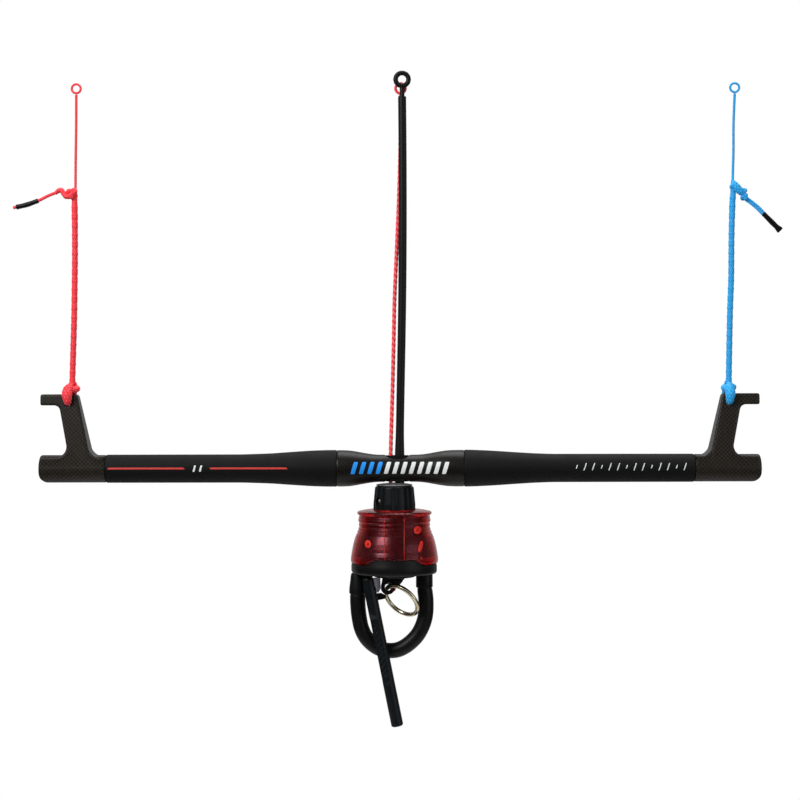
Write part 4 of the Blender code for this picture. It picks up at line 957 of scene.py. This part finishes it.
def sleeve_shell(name, material):
    """The sleeve turned about the release's axis, outside and inside in one closed profile. Its
    lowest 10 mm is stretched or drawn up to meet the parting line."""
    z = np.linspace(SLEEVE_TOP, ARCH_FOOT, 170)
    outside = [SLEEVE_OUTSIDE[0]] + list(zip(sleeve_radius(z), z))[1:]
    inside = [(31.4, ARCH_FOOT), (31.6, -66.0), (29.9, -59.0), (29.3, -57.0), (27.0, -51.0),
              (25.2, -45.5), (24.9, -37.6), (23.8, -34.4), (16.7, -34.0), (16.7, SLEEVE_TOP)]
    fixed = -62.0

    def to_arch(x, y, z):
        share = np.clip((fixed - z) / (fixed - ARCH_FOOT), 0.0, 1.0)
        return x, y, np.where(share > 0.0, fixed + share * (arch_height(x) + 0.15 - fixed), z)

    return turned(name, outside + inside, (AXIS_X, 0.0, 0.0), material, steps=144, wrap=True,
                  shape=to_arch)


def make_sleeve():
    """The sleeve with a window front and back, the two panels that fill the windows, and a
    bead along each seam, painted bright red as a glow of light gathered there."""
    sleeve = sleeve_shell("clear_sleeve", RED_PLASTIC)
    narrow = WINDOW_HALF - WINDOW_GAP
    seam = WINDOW_HALF - WINDOW_GAP / 2.0
    for label, side in (("front", -1.0), ("back", 1.0)):
        near, far = sorted((side * 21.5, side * 51.5))
        cut(sleeve, box_cutter((AXIS_X - WINDOW_HALF, near, -82.0),
                               (AXIS_X + WINDOW_HALF, far, -22.0)))
        panel = sleeve_shell("clear_panel_" + label, RED_PLASTIC)
        near, far = sorted((side * (21.5 + WINDOW_GAP), side * 51.5))
        cut(panel, box_cutter((AXIS_X - narrow, near, -82.0), (AXIS_X + narrow, far, -22.0)),
            "INTERSECT")
        finish(panel, "sleeve", "red_plastic", "sleeve_panel_" + label)
        for index, edge in enumerate((-seam, seam)):
            z = np.linspace(-36.0, arch_height(AXIS_X + edge) + 0.5, 90)
            y = side * (np.sqrt(sleeve_radius(z) ** 2 - edge ** 2) - 0.15)
            path = np.stack([np.full_like(z, AXIS_X + edge), y, z], 1)
            # Each seam bead is painted bright red as a glow of gathered light.
            bead = surface("seam_" + label + "_" + str(index),
                           sweep_grid(path, 0.38, 10, (1.0, 0.0, 0.0)), GLOW_RED_EDGE)
            finish(bead, "sleeve", "red_plastic")
    finish(sleeve, "sleeve", "red_plastic", "release_sleeve")


make_sleeve()


def on_sleeve(x, z, lift):
    """The sleeve's front surface under a point (x, z)."""
    return -np.sqrt(np.maximum((sleeve_radius(z) + lift) ** 2 - (x - AXIS_X) ** 2, 0.0))


def make_plugs():
    """Two round plugs let into the sleeve, each a ring painted bright red as a glow round a dark
    middle, and a slot and a dot painted bright red as light gathered in the wall."""
    for label, x, z in (("left", -24.2, -55.8), ("right", 13.0, -45.6)):
        finish(badge("plug_" + label, on_sleeve, (x, z), (2.4 if x < 0 else 2.8, 2.9), GLOW_RED_PLUG,
                     lift=0.5, power=2.0), "sleeve", "red_plastic", "sleeve_plug_" + label)
        finish(badge("plug_middle_" + label, on_sleeve, (x, z), (0.9, 1.0), PLUG_CORE, lift=0.75,
                     power=2.0), "sleeve", "red_plastic")
    # The slot and the dot are painted glow only: bright red marks for light gathered in the wall.
    finish(badge("painted_glow_slot", on_sleeve, (15.3, -57.6), (1.5, 4.2), GLOW_RED_PLUG, 0.0, 0.15, 2.4,
                 -0.25), "sleeve", "red_plastic")
    finish(badge("painted_glow_dot", on_sleeve, (15.6, -66.4), (1.2, 1.4), GLOW_RED_EDGE, 0.0, 0.12, 2.0),
           "sleeve", "red_plastic")


make_plugs()


def make_core():
    """The black spool inside the sleeve, a thin shell open below: it nearly fills the sleeve, so
    the clear wall shows dark over it and red only at its rim. A notch clears the latch."""
    top, foot, wall, bore = -35.4, -66.9, 2.0, 9.0
    z = np.linspace(top, foot, 60)
    radius = np.interp(-z, (34.4, 37.6, 45.5, 51.0, 57.0, 66.0), (23.8, 24.9, 25.2, 27.0, 29.3, 31.4))
    radius = radius - 1.4
    radius = radius - 0.8 * np.clip(1.0 - np.minimum(top - z, z - foot) / 0.8, 0.0, 1.0) ** 2
    within = np.minimum(z, top - wall)
    profile = [(bore, top)] + list(zip(radius, z)) + list(zip(radius[::-1] - wall, within[::-1]))
    profile += [(bore, top - wall)]
    core = turned("spool", profile, (AXIS_X, 0.0, 0.0), CORE_NYLON, steps=96, wrap=True)
    cut(core, box_cutter((-40.0, -5.0, -68.0), (-23.5, 5.0, -59.5)))
    finish(core, "release", "nylon", "release_core")


make_core()


def make_base():
    """The base under the sleeve: turned, with its top face drawn to the parting line, and cut
    for the loop's two ends."""
    drawn = 40
    top = [(r, ARCH_TOP - 0.15) for r in np.linspace(0.0, 32.0, drawn)]
    side = [(32.6, -72.2), (32.9, -73.4), (32.9, -77.6), (32.2, -79.0), (31.2, -79.6),
            (17.0, -79.6), (16.2, -80.0), (16.0, -81.8), (15.4, -82.5), (14.6, -82.7), (0.0, -82.7)]

    def to_arch(x, y, z):
        edge = np.arange(len(z)) < drawn
        return x, y, np.where(edge[:, None], np.minimum(arch_height(x) - 0.15, z), z)

    base = turned("release_foot", top + side, (AXIS_X, 0.0, 0.0), NYLON, steps=144, shape=to_arch)
    cut(base, box_cutter((11.4, -6.9, -88.0), (51.4, 6.9, -64.0)))
    cut(base, box_cutter((-35.9, -5.2, -88.0), (-29.1, 5.2, -64.0)))
    cut(base, rod_cutter((AXIS_X, 0.0, -90.0), (AXIS_X, 0.0, -60.0), 2.2))
    finish(base, "release", "nylon", "release_base")


make_base()


def make_loop():
    """The chicken loop: a fat tube on the loop's route, and its two ferrules with collars."""
    path = smooth_route(((18.55, 0.0, -90.4),) + LOOP_ROUTE + ((-32.5, 0.0, -94.6),), 0.8)
    length = arc_length(path)
    girth = (5.85 - 0.45 * np.exp(-(length / 1.6) ** 2)
             - 0.45 * np.exp(-((length[-1] - length) / 1.6) ** 2))
    tube = surface("loop_cover", sweep_grid(path, girth, 40), TUBE, crease=60.0)
    finish(tube, "loop", "black_cord", "loop_tube")
    dome = [(6.3 * math.cos(a), 6.3 * math.sin(a)) for a in np.radians(np.linspace(90.0, 5.0, 12))]
    right = turned("right_ferrule_shell", dome + [(6.4, -8.0), (6.45, -13.2), (6.2, -13.9),
                                                  (5.6, -14.3), (0.0, -14.3)],
                   (18.3, 0.0, -76.7), NYLON, steps=64)
    cut(right, rod_cutter((18.3, -20.0, -76.7), (18.3, 20.0, -76.7), 1.65))
    finish(right, "loop", "nylon", "right_ferrule")
    left = turned("left_ferrule_shell",
                  [(0.0, -79.9), (4.6, -79.9), (5.0, -80.3), (5.3, -82.0), (6.4, -91.4),
                   (6.5, -94.2), (6.3, -95.2), (5.8, -95.6), (0.0, -95.6)],
                  (-32.5, 0.0, 0.0), NYLON, steps=64)
    cut(left, box_cutter((-34.9, -4.0, -82.0), (-30.1, 4.0, -71.6)), "UNION")
    finish(left, "loop", "nylon", "left_ferrule")


make_loop()


def make_stick():
    """The stick: a rod whose front left is pressed flat to a plane. The plane's distance from
    the axis eases from the full radius to under half of it and back, as the product of two
    logistic steps, and slanted ribs stand on it. The lower end is hollow."""
    stick_r = 4.55
    scoop_start, scoop_stop, scoop_depth = 27.0, 78.5, 2.5
    hollow_depth = 3.5
    top = np.array((-24.3, -11.5, -84.5))
    bottom = np.array((-2.3, -11.5, -194.2))
    down = (bottom - top) / np.linalg.norm(bottom - top)
    full = np.linalg.norm(bottom - top)
    side = np.cross(down, (0.0, 1.0, 0.0))
    side /= np.linalg.norm(side)
    front = np.array((0.0, -1.0, 0.0))
    s = np.concatenate([np.linspace(-4.5, 0.0, 12), np.linspace(0.4, full - 1.2, 260),
                        np.linspace(full - 1.1, full, 6)])
    radius = np.where(s < 0.0, np.sqrt(np.maximum(stick_r ** 2 - s ** 2, 0.0)), stick_r)
    radius = radius - 0.9 * np.clip((s - full + 1.2) / 1.2, 0.0, 1.0) ** 2
    angle = np.linspace(0.0, 2.0 * math.pi, 64, endpoint=False)[None, :]
    across = radius[:, None] * np.cos(angle)
    ahead = radius[:, None] * np.sin(angle)
    facing = math.radians(128.0)
    toward = across * math.cos(facing) + ahead * math.sin(facing)
    edge = 1.0 / (1.0 + np.exp((scoop_start - s) / 0.7)) / (1.0 + np.exp((s - scoop_stop) / 0.9))
    level = stick_r + 0.05 - scoop_depth * edge[:, None]
    along = np.broadcast_to(s[:, None], across.shape)
    tilt = -across * math.sin(facing) + ahead * math.cos(facing)
    ribs = 0.22 * edge[:, None] * (np.sin(2.0 * math.pi * (along - tilt) / 4.2) > 0.3)
    ribs = ribs * (np.abs(tilt) < 2.2) * (along > 32.0) * (along < 73.0)
    over = np.maximum(toward - (level + ribs), 0.0)
    across = across - over * math.cos(facing)
    ahead = ahead - over * math.sin(facing)
    grid = (top + along[..., None] * down + across[..., None] * side + ahead[..., None] * front)
    hollow = []
    inside = bottom - down * hollow_depth
    for point, wide in ((bottom, 2.1), (inside, 2.0), (inside, 0.0)):
        hollow.append(point + wide * (np.cos(angle[0])[:, None] * side
                                      + np.sin(angle[0])[:, None] * front))
    grid = np.concatenate([grid, np.stack(hollow)])
    stick = surface("locking_stick", grid, STICK_PLASTIC, crease=40.0)
    cut(stick, box_cutter((-31.3, -13.7, -89.0), (-17.3, -9.3, -77.0)))
    finish(stick, "stick", "black_cord", "donkey_stick")


make_stick()


def make_ring():
    """The leash ring: round wire in a circle, tilted as it hangs from its lug."""
    ring_r, wire_r = 14.2, 1.7
    down = np.array((0.731, 0.0, -0.682))
    across = np.array((0.423, -0.785, 0.453))
    down, across = down / np.linalg.norm(down), across / np.linalg.norm(across)
    path = ring_path((0.9, -6.0, -99.8), ring_r, down, across, 160)
    up = np.cross(down, across)
    ring = surface("steel_ring", sweep_grid(path, wire_r, 32, up, True), RING_STEEL, True,
                   crease=80.0)
    finish(ring, "ring", "steel", "leash_ring")


make_ring()


# ---------------------------------------------------------------- carried-over nodes

NODE_FINISH = {"bar_tube_left": CARBON, "bar_tube_right": CARBON, "hub_bushing": NYLON,
               "depower_knot": SHEATH, "swivel_ring": STEEL, "ball_race": STEEL,
               "swivel_shaft": STEEL, "shaft_nut": STEEL, "base_screw_front": STEEL,
               "base_screw_rear": STEEL, "loop_pin": STEEL,
               "latch_pin": STEEL, "stick_pin": STEEL, "return_spring": STEEL,
               "latch_lever": NYLON, "loop_rope": SHEATH, "stick_bracket": NYLON,
               "ring_lug": NYLON, "grey_tab": GREY, "ring_strap": TUBE}
for node_name, node_material in NODE_FINISH.items():
    for material_slot in frame["nodes"][node_name].material_slots:
        material_slot.material = node_material


# ---------------------------------------------------------------- studio

def area_light(name, place, target, power, size, colour):
    """A soft square lamp that faces a target."""
    lamp = bpy.data.lights.new(name, "AREA")
    lamp.energy = power
    lamp.size = size
    lamp.color = linear(colour)[:3]
    thing = bpy.data.objects.new(name, lamp)
    thing.location = world(place)
    thing.rotation_euler = Vector(np.array(target) - np.array(place)).to_track_quat("-Z", "Y").to_euler()
    bpy.context.scene.collection.objects.link(thing)


area_light("key_lamp", (-900.0, -1100.0, 900.0), (0.0, 0.0, 0.0), 22.0, 0.7, "#ffffff")
area_light("fill_lamp", (1100.0, -900.0, 100.0), (0.0, 0.0, 0.0), 4.0, 0.9, "#ffffff")
area_light("top_lamp", (100.0, 300.0, 1200.0), (0.0, 0.0, 0.0), 12.0, 0.8, "#ffffff")


def make_world():
    """A white room. Looked at or looked through it is white everywhere. As a light it is white
    behind the part, soft grey above and in front, and nearly black below."""
    sky = bpy.data.worlds.new("white_room")
    bpy.context.scene.world = sky
    sky.use_nodes = True
    tree = sky.node_tree
    tree.nodes.clear()
    way = add(tree, "ShaderNodeSeparateXYZ", {0: place_on(tree, "Generated")})
    height = span(tree, way.outputs[2], 0.03, 0.30, -0.03, 0.06)
    behind = span(tree, way.outputs[1], 0.0, 0.75, 0.45, 0.9)
    power = maths(tree, "MAXIMUM", height, behind)
    seen = add(tree, "ShaderNodeBackground", {"Color": (1.0, 1.0, 1.0, 1.0), "Strength": 1.0})
    lit = add(tree, "ShaderNodeBackground", {"Color": linear("#f3f5f7"), "Strength": power})
    rays = add(tree, "ShaderNodeLightPath")
    either = maths(tree, "MAXIMUM", rays.outputs["Is Camera Ray"],
                   rays.outputs["Is Transmission Ray"])
    mix = add(tree, "ShaderNodeMixShader", {0: either, 1: lit.outputs[0], 2: seen.outputs[0]})
    add(tree, "ShaderNodeOutputWorld", {"Surface": mix.outputs[0]})


make_world()
bpy.context.scene.view_settings.view_transform = "Standard"


def make_floor():
    """A round pale floor below the part, 800 mm across and 4 mm thick."""
    depth, reach, thick, steps = -360.0, 400.0, 4.0, 96
    pale = make_moulded("pale_floor_paint", "#ececea", "#f4f4f2", 0.7, 2.0)
    rim = [(reach, depth), (reach, depth - thick)]
    profile = [(0.0, depth)] + rim + [(0.0, depth - thick)]
    turned("floor", profile, (0.0, 0.0, 0.0), pale, steps=steps)


make_floor()
